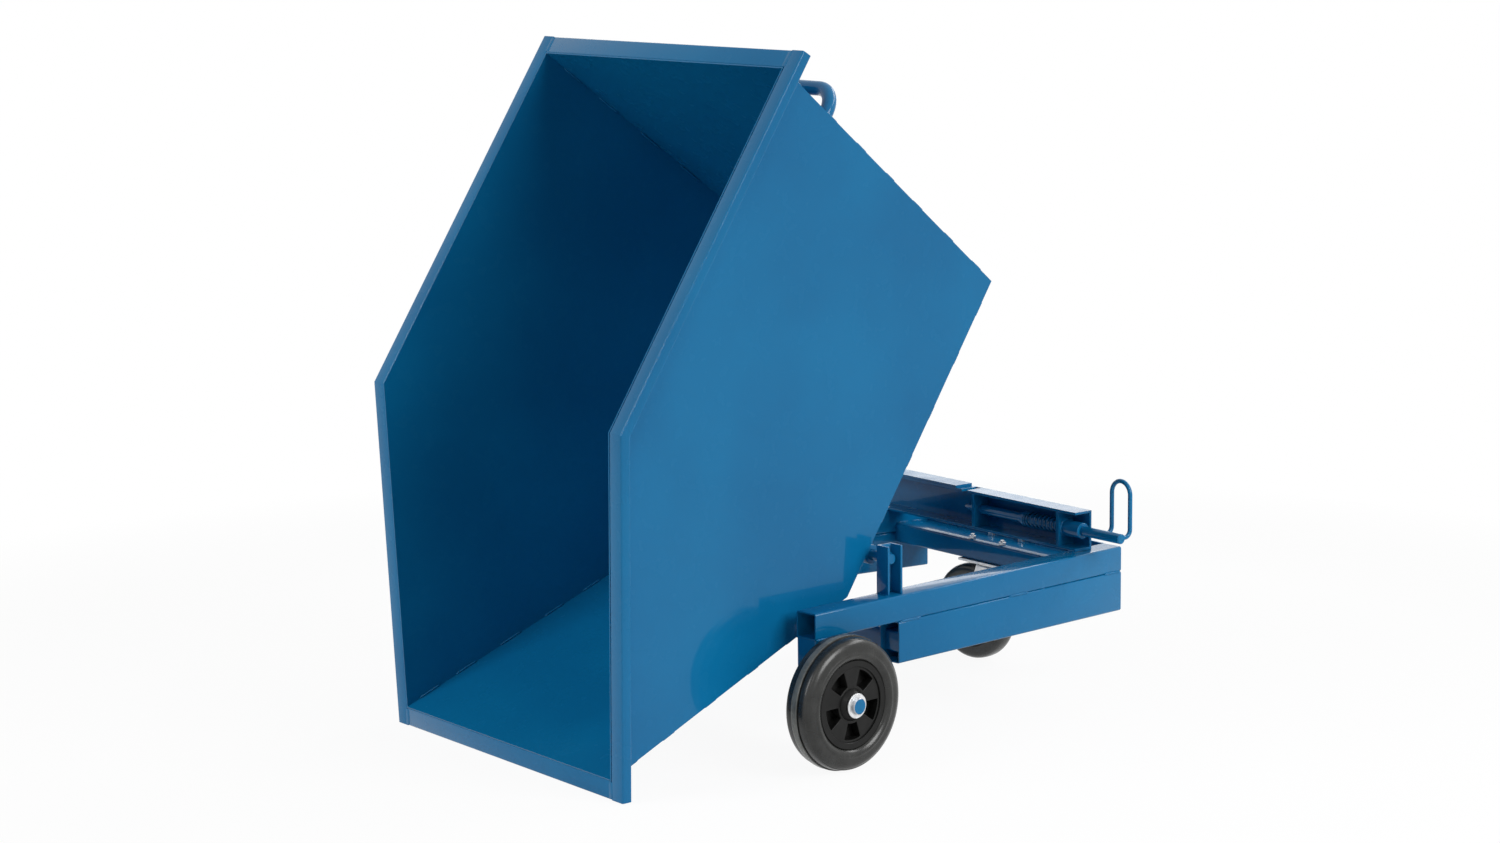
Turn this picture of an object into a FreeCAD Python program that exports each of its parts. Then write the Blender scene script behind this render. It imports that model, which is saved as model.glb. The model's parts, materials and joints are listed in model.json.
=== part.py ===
import FreeCAD, Part
import math
import os
import re
import Sketcher

Vector = FreeCAD.Vector
Rotation = FreeCAD.Rotation
Placement = FreeCAD.Placement
ALONG_X = Vector(1, 0, 0)
ALONG_Y = Vector(0, 1, 0)
ALONG_Z = Vector(0, 0, 1)
SIDES = {"left": 1, "right": -1}
STRAIGHT = math.radians(1)

# Driving sizes in millimetres and degrees. X is forward, Y is left and Z is up.
# The skip is sized about its pivot, as it stands upright.
SIZES = {
    "overall_length": 1276,
    "tip_angle": 57.5,
    "pivot_height": 352,
    "ground_gap": 156,
    "fit_gap": 0.05,
    "weld_gap": 0.1,
    "play": 0.3,
    "overrun": 10,
    # Side rails, which come closer together towards the rear
    "toe_angle": 5.5,
    "rail_front": 207,
    "rail_front_half": 398,
    "rail_width": 50,
    "rail_wall": 3,
    "rail_corner": 4.5,
    "upper_height": 50,
    "lower_height": 80,
    "lower_front": -9,
    # Wheel posts, axles and wheels
    "post_foot": 92,
    "axle_radius": 15,
    "axle_reach": 88,
    "spacer_radius": 22,
    "washer_radius": 23,
    "washer_thickness": 4,
    "wheel_radius": 125,
    "wheel_offset": 44,
    "tyre_width": 66,
    "tread_half": 17,
    "shoulder_drop": 12,
    "tyre_seat": 82,
    "bead_half": 26,
    "bead_rise": 6,
    "hub_length": 66,
    "hub_radius": 30,
    "bearing_radius": 18,
    "rim_inner": 70,
    "rim_half": 27,
    "web_half": 24,
    "pocket_inner": 37,
    "pocket_outer": 63.5,
    "pocket_angle": 36,
    "pocket_count": 5,
    "pocket_floor": 8,
    # Cross members
    "cross_size": 40,
    "cross_setback": 6,
    "cross_lift": 18,
    "caster_setback": 47,
    "caster_rail_depth": 80,
    "caster_rail_height": 40,
    "rear_plate_thickness": 6,
    "rear_plate_height": 69.8,
    # Pivot posts and shaft
    "pivot_post_depth": 36,
    "pivot_post_width": 33,
    "pivot_post_wall": 5,
    "pivot_post_inset": 44.2,
    "pivot_post_height": 92,
    "shaft_radius": 10,
    "shaft_end": 23,
    "shaft_collar_length": 9,
    # Latch channel and what it holds
    "latch_setback": 84,
    "channel_depth": 44,
    "channel_height": 78,
    "channel_wall": 5,
    "channel_inset": 28.7,
    "channel_far_inset": 3,
    "strip_thickness": 5,
    "strip_end": -60,
    "latch_plate_thickness": 8,
    "partition_middle": -7,
    "end_plate_inset": 52,
    "bushing_radius": 16,
    "bushing_length": 48,
    "pin_radius": 10,
    "pin_tip": -52,
    "pin_overhang": 108,
    "pin_nose": 22,
    "pin_nose_radius": 5,
    "collar_radius": 15,
    "collar_length": 8,
    "spring_length": 107,
    "spring_wire_radius": 1.75,
    "spring_clearance": 2,
    "spring_turns": 8,
    "spring_lead": 9,
    "loop_wire_radius": 4.5,
    "loop_width": 51,
    "loop_inset": 8,
    "loop_setback": 30,
    "loop_rise": 107,
    "loop_bend": 14,
    # Skip, about its pivot
    "sheet_thickness": 2.5,
    "hinge_drop": 20,
    "floor_front": 96,
    "floor_overhang": 26.3,
    "back_flare": 69,
    "skip_depth": 694,
    "rim_bend": 84,
    "lip_reach": 636.2,
    "lip_level": 346,
    "rim_width": 35,
    "rim_height": 20,
    "rim_wall": 2.5,
    "rim_corner": 4,
    "side_gap": 24.5,
    "side_flare": 62.5,
    "sleeve_radius": 18,
    "sleeve_length": 120,
    "sleeve_gap": 33,
    "saddle_width": 30,
    "lug_middle": -34,
    "lug_thickness": 8,
    "lug_width": 24,
    "lug_hole_radius": 11.5,
    "lug_tail": 16,
    "lug_slot": 16,
    # Push handle on the back wall
    "handle_radius": 13.5,
    "handle_wall": 2.5,
    "handle_bend": 60,
    "handle_inset": 8.5,
    "handle_reach": 74,
    "handle_drop": 178,
    # Swivel caster
    "caster_height": 216,
    "caster_angle": -86,
    "caster_trail": 60,
    "caster_radius": 100,
    "caster_width": 45,
    "caster_tread_half": 14,
    "caster_shoulder": 8,
    "caster_seat": 74,
    "caster_hub_radius": 20,
    "caster_hub_length": 50,
    "caster_web_half": 8,
    "caster_bearing_radius": 10,
    "caster_axle_radius": 6,
    "caster_plate_length": 94,
    "caster_plate_width": 134,
    "caster_plate_thickness": 5,
    "bolt_spacing_x": 52,
    "bolt_spacing_y": 91,
    "bolt_radius": 4,
    "bolt_hole_radius": 4.5,
    "bolt_tail": 4,
    "bolt_head": 5.3,
    "nut_height": 6.5,
    "nut_radius": 7.5,
    "race_radius": 38,
    "race_height": 4,
    "kingpin_radius": 8,
    "kingpin_head_radius": 14,
    "kingpin_head": 5,
    "crown_radius": 40,
    "crown_thickness": 5,
    "fork_half": 27,
    "fork_leg": 4,
    "fork_top_half": 28,
    "fork_boss": 17,
    # Sizes that follow from the ones above
    "half_length": "=overall_length / 2",
    "rail_seam": "=ground_gap + lower_height",
    "rail_top": "=rail_seam + upper_height",
    "rail_length": "=(half_length + rail_front) / cos(toe_angle)",
    "lower_length": "=(half_length + lower_front) / cos(toe_angle)",
    "rim_level": "=hinge_drop + skip_depth",
    "pivot_x": "=half_length - rim_bend * cos(tip_angle) - rim_level * sin(tip_angle)",
    "latch_x": "=latch_setback - half_length",
    "pivot_post_half": "=rail_front_half - (rail_front - pivot_x) * tan(toe_angle) - pivot_post_inset",
    "shaft_half": "=pivot_post_half + shaft_end",
    "sleeve_outer": "=pivot_post_half - sleeve_gap",
    "bottom_half": "=pivot_post_half - side_gap",
    "top_half": "=bottom_half + side_flare",
    "handle_half": "=bottom_half - handle_inset",
    "channel_half": "=rail_front_half - (rail_front - latch_x) * tan(toe_angle) - channel_inset",
    "channel_far": "=channel_half + channel_inset - channel_far_inset",
    "end_plate_middle": "=channel_half - end_plate_inset",
    "spring_start": "=end_plate_middle - latch_plate_thickness / 2 - spring_length",
    "pin_end": "=channel_half + pin_overhang",
    "loop_outer": "=pin_end - loop_inset",
    "loop_inner": "=loop_outer - loop_width",
    "floor_rear": "=latch_x - pivot_x - floor_overhang",
    "wall_top": "=floor_rear - back_flare",
    "rim_rear": "=wall_top - rim_width",
    "rim_run": "=lip_reach - rim_bend",
    "rim_fall": "=rim_level - lip_level",
    "rim_slant": "=sqrt(rim_run * rim_run + rim_fall * rim_fall)",
    "mouth_reach": "=lip_reach - rim_width * rim_run / rim_slant",
    "mouth_level": "=lip_level + rim_width * rim_fall / rim_slant",
    "side_taper": "=(top_half - bottom_half) / skip_depth",
    "caster_x": "=caster_setback - half_length",
    "pin_level": "=rail_top + channel_height / 2",
    "race_low": "=caster_height - caster_plate_thickness - race_height - weld_gap",
    "crown_low": "=race_low - play - crown_thickness",
}

doc = FreeCAD.newDocument("tipping_skip_trolley")
sheet = doc.addObject("Spreadsheet::Sheet", "Sizes")
for row, (alias, size) in enumerate(SIZES.items(), start=1):
    sheet.set(f"A{row}", alias)
    sheet.set(f"B{row}", str(size))
    sheet.setAlias(f"B{row}", alias)
doc.recompute()

nodes = []


def v(alias):
    """Give a size from the sheet."""
    return float(sheet.get(alias))


def bind(item, **rules):
    """Bind properties of an object to sizes in the sheet."""
    for path, rule in rules.items():
        linked = re.sub(r"[a-z][a-z_]+", lambda word: link(word.group()), rule)
        item.setExpression(path, linked)
    return item


def link(word):
    """Give a sheet reference for the name of a size."""
    return f"Sizes.{word}" if word in SIZES else word


def node(label, item, place=None):
    """Name a finished sub-part, put it in place and list it for export."""
    item.Label = label
    if place is not None:
        item.Placement = place
    nodes.append(item)
    return item


def shift(x, y, z):
    """Give a placement that only moves."""
    return Placement(Vector(x, y, z), Rotation())


def box(name, length, width, height, corner):
    """Make a box from bound sizes with its low corner at a point."""
    item = doc.addObject("Part::Box", name)
    bind(item, Length=length, Width=width, Height=height)
    item.Placement = Placement(corner, Rotation())
    return item


def round_bar(name, radius, length, start, direction):
    """Make a cylinder from bound sizes that runs from a point in a direction."""
    item = doc.addObject("Part::Cylinder", name)
    bind(item, Radius=radius, Height=length)
    item.Placement = Placement(start, Rotation(ALONG_Z, direction))
    return item


def join(name, pieces):
    """Fuse pieces into one solid."""
    item = doc.addObject("Part::MultiFuse", name)
    item.Shapes = pieces
    return item


def cut(name, base, tools):
    """Cut tools out of a base."""
    item = doc.addObject("Part::Cut", name)
    item.Base = base
    item.Tool = tools[0] if len(tools) == 1 else join(name + "_tools", tools)
    return item


def group(name, pieces):
    """Keep like solids together as one node."""
    item = doc.addObject("Part::Compound", name)
    item.Links = pieces
    return item


def outline(body, name, plane, corners):
    """Draw a closed outline whose corners are bound to the sheet."""
    sketch = body.newObject("Sketcher::SketchObject", name)
    origin_plane = next(item for item in body.Origin.OriginFeatures if item.Role == plane)
    sketch.AttachmentSupport = [(origin_plane, "")]
    sketch.MapMode = "FlatFace"
    places = [Vector(solve(x), solve(y), 0) for x, y in corners]
    count = len(places)
    for index in range(count):
        sketch.addGeometry(Part.LineSegment(places[index], places[(index + 1) % count]))
    for index in range(count):
        sketch.addConstraint(Sketcher.Constraint("Coincident", index, 2, (index + 1) % count, 1))
    for index, (x, y) in enumerate(corners):
        for kind, rule in (("DistanceX", x), ("DistanceY", y)):
            number = sketch.addConstraint(Sketcher.Constraint(kind, -1, 1, index, 1, solve(rule)))
            bind(sketch, **{f"Constraints[{number}]": rule})
    return sketch


def solve(rule):
    """Work out a rule about the sizes with the sheet's own arithmetic."""
    scratch = "C1"
    sheet.set(scratch, "=" + rule)
    sheet.recompute()
    answer = float(sheet.get(scratch))
    sheet.clear(scratch)
    return answer


def plate(name, plane, corners, thickness, backwards=False):
    """Pad an outline into a plate."""
    body = doc.addObject("PartDesign::Body", name)
    sketch = outline(body, name + "_outline", plane, corners)
    pad = body.newObject("PartDesign::Pad", name + "_pad")
    pad.Profile = sketch
    pad.Reversed = backwards
    bind(pad, Length=thickness)
    return body


def hollow_bar(name, length, width, height, wall, corner):
    """Make a rectangular tube along X with rounded long edges."""
    body = plate(name, "YZ_Plane", [("0", "0"), (width, "0"), (width, height), ("0", height)], length)
    doc.recompute()
    pad = body.Tip
    long_edges = []
    for number, edge in enumerate(pad.Shape.Edges, start=1):
        if edge.tangentAt(edge.FirstParameter).isParallel(ALONG_X, STRAIGHT):
            long_edges.append(f"Edge{number}")
    rounding = body.newObject("PartDesign::Fillet", name + "_rounding")
    rounding.Base = (pad, long_edges)
    bind(rounding, Radius=corner)
    inside = [(wall, wall), (f"{width} - {wall}", wall),
              (f"{width} - {wall}", f"{height} - {wall}"), (wall, f"{height} - {wall}")]
    bore = outline(body, name + "_bore", "YZ_Plane", inside)
    pocket = body.newObject("PartDesign::Pocket", name + "_pocket")
    pocket.Profile = bore
    pocket.Type = "ThroughAll"
    pocket.Reversed = True
    return body


def turned(name, profile):
    """Turn a profile of radius and distance along Y about the Y axis."""
    body = doc.addObject("PartDesign::Body", name)
    sketch = outline(body, name + "_profile", "XY_Plane", profile)
    turn = body.newObject("PartDesign::Revolution", name + "_turn")
    turn.Profile = sketch
    turn.ReferenceAxis = (sketch, ["V_Axis"])
    return body


def wire_tube(name, path, radii):
    """Sweep a round wire, or a tube with an inside radius, along a path."""
    edge = path.Edges[0]
    start = path.OrderedVertexes[0].Point
    heading = edge.tangentAt(edge.FirstParameter)
    if (edge.valueAt(edge.FirstParameter) - start).Length > v("weld_gap"):
        heading = edge.tangentAt(edge.LastParameter) * -1
    solids = []
    for radius in radii:
        ring = Part.Wire([Part.Circle(start, heading, radius).toShape()])
        solids.append(path.makePipeShell([ring], True, False))
    item = doc.addObject("Part::Feature", name)
    item.Shape = solids[0] if len(solids) == 1 else solids[0].cut(solids[1])
    return item


def bend(start, corner, end, radius):
    """Give the arc that rounds a square corner between two runs."""
    into = (corner - start).normalize()
    out = (end - corner).normalize()
    first = corner - into * radius
    last = corner + out * radius
    middle = first + out * radius + (into - out) * (radius * math.sin(math.pi / 4))
    return first, last, Part.Arc(first, middle, last).toShape()


def line(start, end):
    """Give a straight edge."""
    return Part.LineSegment(start, end).toShape()


# Chassis sides
def side_frame(side):
    """Place the front outer corner of one side's rails, at the floor."""
    corner = Vector(v("rail_front"), side * v("rail_front_half"), 0)
    return Placement(corner, Rotation(ALONG_Z, side * v("toe_angle")))


def inner_edge(side, width):
    """Give the low Y of a bar that lies inside the rails' outer face."""
    return -width if side > 0 else 0


def outside_rails(name, inset):
    """Make the space beyond both rails, to trim the ends of cross members."""
    spaces = []
    for label, side in SIDES.items():
        space = box(f"{name}_{label}", "rail_length + 2 * overrun", "rail_front_half", "rail_top + 2 * overrun",
                    Vector())
        low = -inset if side > 0 else inset - v("rail_front_half")
        reach = -v("rail_length") - v("overrun")
        space.Placement = side_frame(side).multiply(shift(reach, low, -v("overrun")))
        spaces.append(space)
    return spaces


def make_rails():
    """Make the upper and lower rails and the wheel posts of both sides."""
    for label, side in SIDES.items():
        frame = side_frame(side)
        low_y = inner_edge(side, v("rail_width"))
        upper = hollow_bar(f"upper_{label}", "rail_length", "rail_width", "upper_height", "rail_wall", "rail_corner")
        node(f"side_rail_{label}", upper, frame.multiply(shift(-v("rail_length"), low_y, v("rail_seam"))))
        lower = hollow_bar(f"lower_{label}", "lower_length", "rail_width", "lower_height", "rail_wall", "rail_corner")
        notch_y = v("rail_wall") if side < 0 else -v("overrun")
        notch = box(f"notch_{label}", "cross_size + cross_setback + overrun", "rail_width - rail_wall + overrun",
                    "cross_size + 2 * weld_gap", Vector())
        notch_x = v("lower_length") - v("cross_size") - v("cross_setback") - v("overrun") / 2
        notch.Placement = shift(notch_x, notch_y, v("cross_lift") - v("weld_gap"))
        notched = cut(f"lower_notched_{label}", lower, [notch])
        node(f"lower_rail_{label}", notched, frame.multiply(shift(-v("rail_length"), low_y, v("ground_gap"))))
        post = hollow_bar(f"post_{label}", "rail_seam - post_foot", "rail_width", "rail_width", "rail_wall",
                          "rail_corner")
        hole = round_bar(f"post_hole_{label}", "axle_radius + fit_gap", "rail_width + 2 * overrun",
                         Vector(v("wheel_radius") - v("post_foot"), -v("overrun"), v("rail_width") / 2), ALONG_Y)
        drilled = cut(f"post_drilled_{label}", post, [hole])
        upright = Placement(Vector(0, low_y, v("post_foot")), Rotation(ALONG_Y, -90))
        node(f"wheel_post_{label}", drilled, frame.multiply(upright))


def make_cross_members():
    """Make the front cross tube, the caster rail and the rear plate between the rails."""
    span = 2 * v("rail_front_half")
    tube = hollow_bar("cross", "2 * rail_front_half", "cross_size", "cross_size", "rail_wall", "rail_corner")
    rear_x = v("lower_front") - v("cross_setback")
    low_z = v("ground_gap") + v("cross_lift")
    tube.Placement = Placement(Vector(rear_x, -span / 2, low_z), Rotation(ALONG_Z, 90))
    ends = outside_rails("cross_ends", v("rail_wall") + v("weld_gap"))
    node("front_cross_tube", cut("front_cross", tube, ends))
    rail = hollow_bar("rail", "2 * rail_front_half", "caster_rail_depth", "caster_rail_height", "rail_wall",
                      "rail_corner")
    front_x = v("caster_x") + v("caster_rail_depth") / 2
    rail.Placement = Placement(Vector(front_x, -span / 2, v("caster_height")), Rotation(ALONG_Z, 90))
    ends = outside_rails("rail_ends", v("rail_width") + v("weld_gap"))
    holes = [round_bar(f"rail_hole_{number}", "bolt_hole_radius", "caster_rail_height + 2 * overrun",
                       place - Vector(0, 0, v("overrun")), ALONG_Z)
             for number, place in enumerate(bolt_places())]
    node("caster_rail", cut("caster_rail_cut", rail, ends + holes))
    back = box("back", "rear_plate_thickness", "2 * rail_front_half", "rear_plate_height",
               Vector(-v("half_length") + v("weld_gap"), -span / 2, v("caster_height")))
    ends = outside_rails("back_ends", v("rail_width") + v("weld_gap"))
    node("rear_plate", cut("back_cut", back, ends))


# Axles and wheels
def wheel_frame(side):
    """Place the middle of one wheel, with its axle along Y."""
    return side_frame(side).multiply(shift(-v("rail_width") / 2, side * v("wheel_offset"), v("wheel_radius")))


def make_axles():
    """Make the stub axles with a spacer behind each wheel and a washer in front of it."""
    spacers = []
    washers = []
    for label, side in SIDES.items():
        frame = wheel_frame(side)
        outward = ALONG_Y * side
        inner = outward * -(v("wheel_offset") + v("rail_width"))
        axle = round_bar(f"axle_{label}", "axle_radius", "rail_width + axle_reach", inner, outward)
        node(f"stub_axle_{label}", axle, frame.multiply(axle.Placement))
        for name, radius, length, start, made in (
                ("spacer", "spacer_radius", "wheel_offset - hub_length / 2 - weld_gap - play",
                 v("weld_gap") - v("wheel_offset"), spacers),
                ("washer", "washer_radius", "washer_thickness", v("hub_length") / 2 + v("play"), washers)):
            ring = round_bar(f"{name}_{label}", radius, length, outward * start, outward)
            bore = round_bar(f"{name}_bore_{label}", "axle_radius + fit_gap", "axle_reach",
                             outward * (start - v("overrun")), outward)
            holed = cut(f"{name}_holed_{label}", ring, [bore])
            holed.Placement = frame
            made.append(holed)
    node("axle_spacers", group("spacers", spacers))
    node("axle_washers", group("washers", washers))


def tyre_profile(radius, width, tread, shoulder, seat, bead, rise):
    """Give half round corners of a tyre, mirrored across its middle."""
    near = [(f"{seat} + fit_gap", bead), (f"{seat} + {rise}", f"{width} / 2"),
            (f"{radius} - {shoulder}", f"{width} / 2"), (radius, tread)]
    far = [(across, f"-({along})") for across, along in reversed(near)]
    return near + far


def make_wheels():
    """Make the tyre, the rim with its pockets and the bearing of both wheels."""
    for label, side in SIDES.items():
        frame = wheel_frame(side)
        tyre = turned(f"tyre_body_{label}", tyre_profile("wheel_radius", "tyre_width", "tread_half", "shoulder_drop",
                                                         "tyre_seat", "bead_half", "bead_rise"))
        node(f"tyre_{label}", tyre, frame)
        near = [("bearing_radius + fit_gap", "hub_length / 2"), ("hub_radius", "hub_length / 2"),
                ("hub_radius", "web_half"), ("rim_inner", "web_half"), ("rim_inner", "rim_half"),
                ("tyre_seat", "rim_half")]
        far = [(across, f"-({along})") for across, along in reversed(near)]
        rim = turned(f"rim_body_{label}", near + far)
        pockets = [rim_pocket(f"pocket_{label}_{number}", number) for number in range(int(v("pocket_count")))]
        node(f"wheel_rim_{label}", cut(f"rim_cut_{label}", rim, pockets), frame)
        node(f"wheel_bearing_{label}", sleeve(f"bearing_{label}", "bearing_radius", "axle_radius + fit_gap",
                                              "hub_length"), frame)


def rim_pocket(name, number):
    """Make the space of two pockets, one in each face of a rim; the first pair is at the bottom."""
    whole = doc.addObject("Part::Cylinder", f"{name}_slice")
    bind(whole, Radius="pocket_outer", Height="2 * rim_half", Angle="pocket_angle")
    upright = Placement(ALONG_Y * v("rim_half"), Rotation(ALONG_X, 90))
    first = 90 + v("pocket_angle") / 2
    whole.Placement = Placement(Vector(), Rotation(ALONG_Y, first + 360 * number / v("pocket_count"))).multiply(upright)
    core = round_bar(f"{name}_core", "pocket_inner", "4 * rim_half", ALONG_Y * (-2 * v("rim_half")), ALONG_Y)
    floor = round_bar(f"{name}_floor", "rim_inner", "pocket_floor", ALONG_Y * (-v("pocket_floor") / 2), ALONG_Y)
    return cut(name, whole, [core, floor])


def sleeve(name, outer, inner, length):
    """Make a ring along Y about its middle."""
    return turned(name, [(inner, f"-({length}) / 2"), (outer, f"-({length}) / 2"),
                         (outer, f"({length}) / 2"), (inner, f"({length}) / 2")])


# Pivot between the chassis and the skip
def make_pivot():
    """Make the two channel posts, the shaft through them and its collars."""
    collars = []
    for label, side in SIDES.items():
        low_x = v("pivot_x") - v("pivot_post_depth") / 2
        near_y = v("pivot_post_half")
        far_y = near_y + v("pivot_post_width")
        low_y = near_y if side > 0 else -far_y
        block = box(f"pivot_block_{label}", "pivot_post_depth", "pivot_post_width", "pivot_post_height",
                    Vector(low_x, low_y, v("rail_top")))
        hollow_y = near_y + v("pivot_post_wall") if side > 0 else -far_y - v("overrun")
        hollow = box(f"pivot_hollow_{label}", "pivot_post_depth - 2 * pivot_post_wall",
                     "pivot_post_width - pivot_post_wall + overrun", "pivot_post_height + 2 * overrun",
                     Vector(low_x + v("pivot_post_wall"), hollow_y, v("rail_top") - v("overrun")))
        axis_start = Vector(v("pivot_x"), -v("shaft_half"), v("pivot_height"))
        hole = round_bar(f"pivot_hole_{label}", "shaft_radius + fit_gap", "2 * shaft_half", axis_start, ALONG_Y)
        node(f"pivot_post_{label}", cut(f"pivot_cut_{label}", block, [hollow, hole]))
        ring = sleeve(f"shaft_collar_{label}", "pivot_post_depth / 2 - pivot_post_wall - play",
                      "shaft_radius + fit_gap", "shaft_collar_length")
        middle = near_y + v("pivot_post_wall") + v("play") + v("shaft_collar_length") / 2
        ring.Placement = shift(v("pivot_x"), side * middle, v("pivot_height"))
        collars.append(ring)
    node("pivot_shaft", round_bar("shaft", "shaft_radius", "2 * shaft_half",
                                  Vector(v("pivot_x"), -v("shaft_half"), v("pivot_height")), ALONG_Y))
    node("shaft_collars", group("collars", collars))


# Latch
def make_latch_channel():
    """Make the channel across the rails with its strip, plates and bushing."""
    low_x = v("latch_x") - v("channel_depth") / 2
    base = v("rail_top") + v("weld_gap")
    block = box("channel_block", "channel_depth", "channel_far + channel_half", "channel_height",
                Vector(low_x, -v("channel_far"), base))
    hollow = box("channel_hollow", "channel_depth", "channel_far + channel_half + 2 * overrun",
                 "channel_height - 2 * channel_wall",
                 Vector(low_x + v("channel_wall"), -v("channel_far") - v("overrun"), base + v("channel_wall")))
    top = base + v("channel_height")
    slot = box("lug_slot", "channel_depth", "lug_slot", "2 * overrun",
               Vector(low_x + v("channel_wall"), v("lug_middle") - v("lug_slot") / 2, top - v("overrun")))
    node("latch_channel", cut("channel_cut", block, [hollow, slot]))
    strip = box("strip", "channel_depth", "channel_far + strip_end", "strip_thickness - weld_gap",
                Vector(low_x, -v("channel_far"), top + v("weld_gap")))
    node("wear_strip", strip)
    axis_start = Vector(v("latch_x"), v("pin_tip"), v("pin_level"))
    for label, middle in (("latch_partition", "partition_middle"), ("latch_end_plate", "end_plate_middle")):
        web = box(f"{label}_block", "channel_depth - channel_wall - weld_gap", "latch_plate_thickness",
                  "channel_height - 2 * channel_wall - 2 * weld_gap",
                  Vector(low_x + v("channel_wall") + v("weld_gap"), v(middle) - v("latch_plate_thickness") / 2,
                         base + v("channel_wall") + v("weld_gap")))
        hole = round_bar(f"{label}_hole", "pin_radius + fit_gap", "pin_end - pin_tip", axis_start, ALONG_Y)
        node(label, cut(f"{label}_cut", web, [hole]))
    bushing = sleeve("bushing", "bushing_radius", "pin_radius + fit_gap", "bushing_length")
    bushing_middle = v("end_plate_middle") + v("latch_plate_thickness") / 2 + v("bushing_length") / 2
    node("latch_bushing", bushing, shift(v("latch_x"), bushing_middle + v("weld_gap"), v("pin_level")))


def make_latch():
    """Make the sliding pin with its collar, pull loop and spring."""
    nose = doc.addObject("Part::Cone", "pin_nose_cone")
    bind(nose, Radius1="pin_nose_radius", Radius2="pin_radius", Height="pin_nose")
    nose.Placement = Placement(Vector(v("latch_x"), v("pin_tip"), v("pin_level")), Rotation(ALONG_Z, ALONG_Y))
    shank_start = Vector(v("latch_x"), v("pin_tip") + v("pin_nose"), v("pin_level"))
    shank = round_bar("pin_shank", "pin_radius", "pin_end - pin_tip - pin_nose", shank_start, ALONG_Y)
    node("latch_pin", join("pin", [nose, shank]))
    collar = sleeve("pin_collar", "collar_radius", "pin_radius + fit_gap", "collar_length")
    node("latch_collar", collar,
         shift(v("latch_x"), v("spring_start") - v("collar_length") / 2, v("pin_level")))
    node("latch_loop", wire_tube("loop", loop_path(), [v("loop_wire_radius")]))
    node("latch_spring", wire_tube("spring", spring_path(), [v("spring_wire_radius")]))


def loop_path():
    """Follow the pull loop from the pin, up behind it, over and down to the pin again."""
    level = v("pin_level")
    foot_x = v("latch_x") - v("pin_radius")
    back_x = v("latch_x") - v("loop_setback")
    half = (v("loop_outer") - v("loop_inner")) / 2
    shoulder = level + v("loop_rise") - half
    legs = []
    for y in (v("loop_inner"), v("loop_outer")):
        foot = Vector(foot_x, y, level)
        corner = Vector(back_x, y, level)
        head = Vector(back_x, y, shoulder)
        first, last, arc = bend(foot, corner, head, v("loop_bend"))
        legs.append([line(foot, first), arc, line(last, head)])
    crown = Part.Arc(Vector(back_x, v("loop_inner"), shoulder),
                     Vector(back_x, v("loop_inner") + half, shoulder + half),
                     Vector(back_x, v("loop_outer"), shoulder)).toShape()
    edges = legs[0] + [crown] + legs[1][::-1]
    return Part.Wire(Part.__sortEdges__(edges))


def spring_path():
    """Follow the spring's curls as pairs of arcs, each pair a quarter of a turn."""
    radius = v("pin_radius") + v("spring_clearance") + v("spring_wire_radius")
    wire = 2 * v("spring_wire_radius")
    first_y = v("spring_start") + v("weld_gap")
    last_y = v("end_plate_middle") - v("latch_plate_thickness") / 2 - v("weld_gap")
    lead = v("spring_lead")
    quarters = int(v("spring_turns")) * 4
    rise = (last_y - first_y - 2 * wire - 2 * lead) / quarters
    slope = rise / (math.pi / 2)

    def coil_point(quarter, height):
        turn = math.pi / 2 * quarter
        return Vector(v("latch_x") + radius * math.cos(turn), height, v("pin_level") + radius * math.sin(turn))

    def coil_heading(quarter):
        turn = math.pi / 2 * quarter
        return Vector(-radius * math.sin(turn), slope, radius * math.cos(turn)).normalize()

    start_y = first_y + wire
    stations = [(coil_point(0, start_y), ALONG_Y)]
    for quarter in range(quarters + 1):
        stations.append((coil_point(quarter + 1, start_y + lead + rise * quarter), coil_heading(quarter + 1)))
    stations.append((coil_point(quarters + 2, last_y - wire), ALONG_Y))
    edges = [line(stations[0][0] - ALONG_Y * wire, stations[0][0])]
    for (point, heading), (next_point, next_heading) in zip(stations, stations[1:]):
        edges.extend(arc_pair(point, heading, next_point, next_heading))
    edges.append(line(stations[-1][0], stations[-1][0] + ALONG_Y * wire))
    path = Part.Wire(edges)
    print("latch spring: least gap to itself", round(least_gap(path, radius) - wire, 2), "mm")
    return path


def arc_pair(start, heading, end, next_heading):
    """Join two points by two arcs that meet smoothly and keep both headings."""
    across = end - start
    both = heading + next_heading
    spread = 2 * (1 - heading.dot(next_heading))
    reach = (math.sqrt(across.dot(both) ** 2 + spread * across.dot(across)) - across.dot(both)) / spread
    first = start + heading * reach
    second = end - next_heading * reach
    middle = (first + second) * 0.5
    arcs = []
    for low, corner, high in ((start, first, middle), (middle, second, end)):
        weight = (high - low).Length / (2 * reach)
        crown = (low + corner * (2 * weight) + high) * (1 / (2 + 2 * weight))
        arcs.append(Part.Arc(low, crown, high).toShape())
    return arcs


def least_gap(path, radius):
    """Measure the least distance between stretches of a coil at least half a turn apart."""
    spacing = v("spring_wire_radius")
    points = path.discretize(Distance=spacing)
    apart = int(math.pi * radius / spacing)
    gaps = [(points[low] - points[high]).Length
            for low in range(len(points))
            for high in range(low + apart, len(points))]
    return min(gaps)


# Skip
def skip_frame():
    """Place the skip's pivot, turned from upright to tipped."""
    pivot = Vector(v("pivot_x"), 0, v("pivot_height"))
    return Placement(pivot, Rotation(ALONG_Y, v("tip_angle")))


def side_half(level):
    """Give the half width of the side panels' outer faces at a height."""
    return v("top_half") - v("side_taper") * (v("rim_level") - level)


def wall_frame(x, z, lean):
    """Place a wall of the skip that leans about Y from a bottom corner."""
    return skip_frame().multiply(Placement(Vector(x, 0, z), Rotation(ALONG_Y, lean)))


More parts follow.
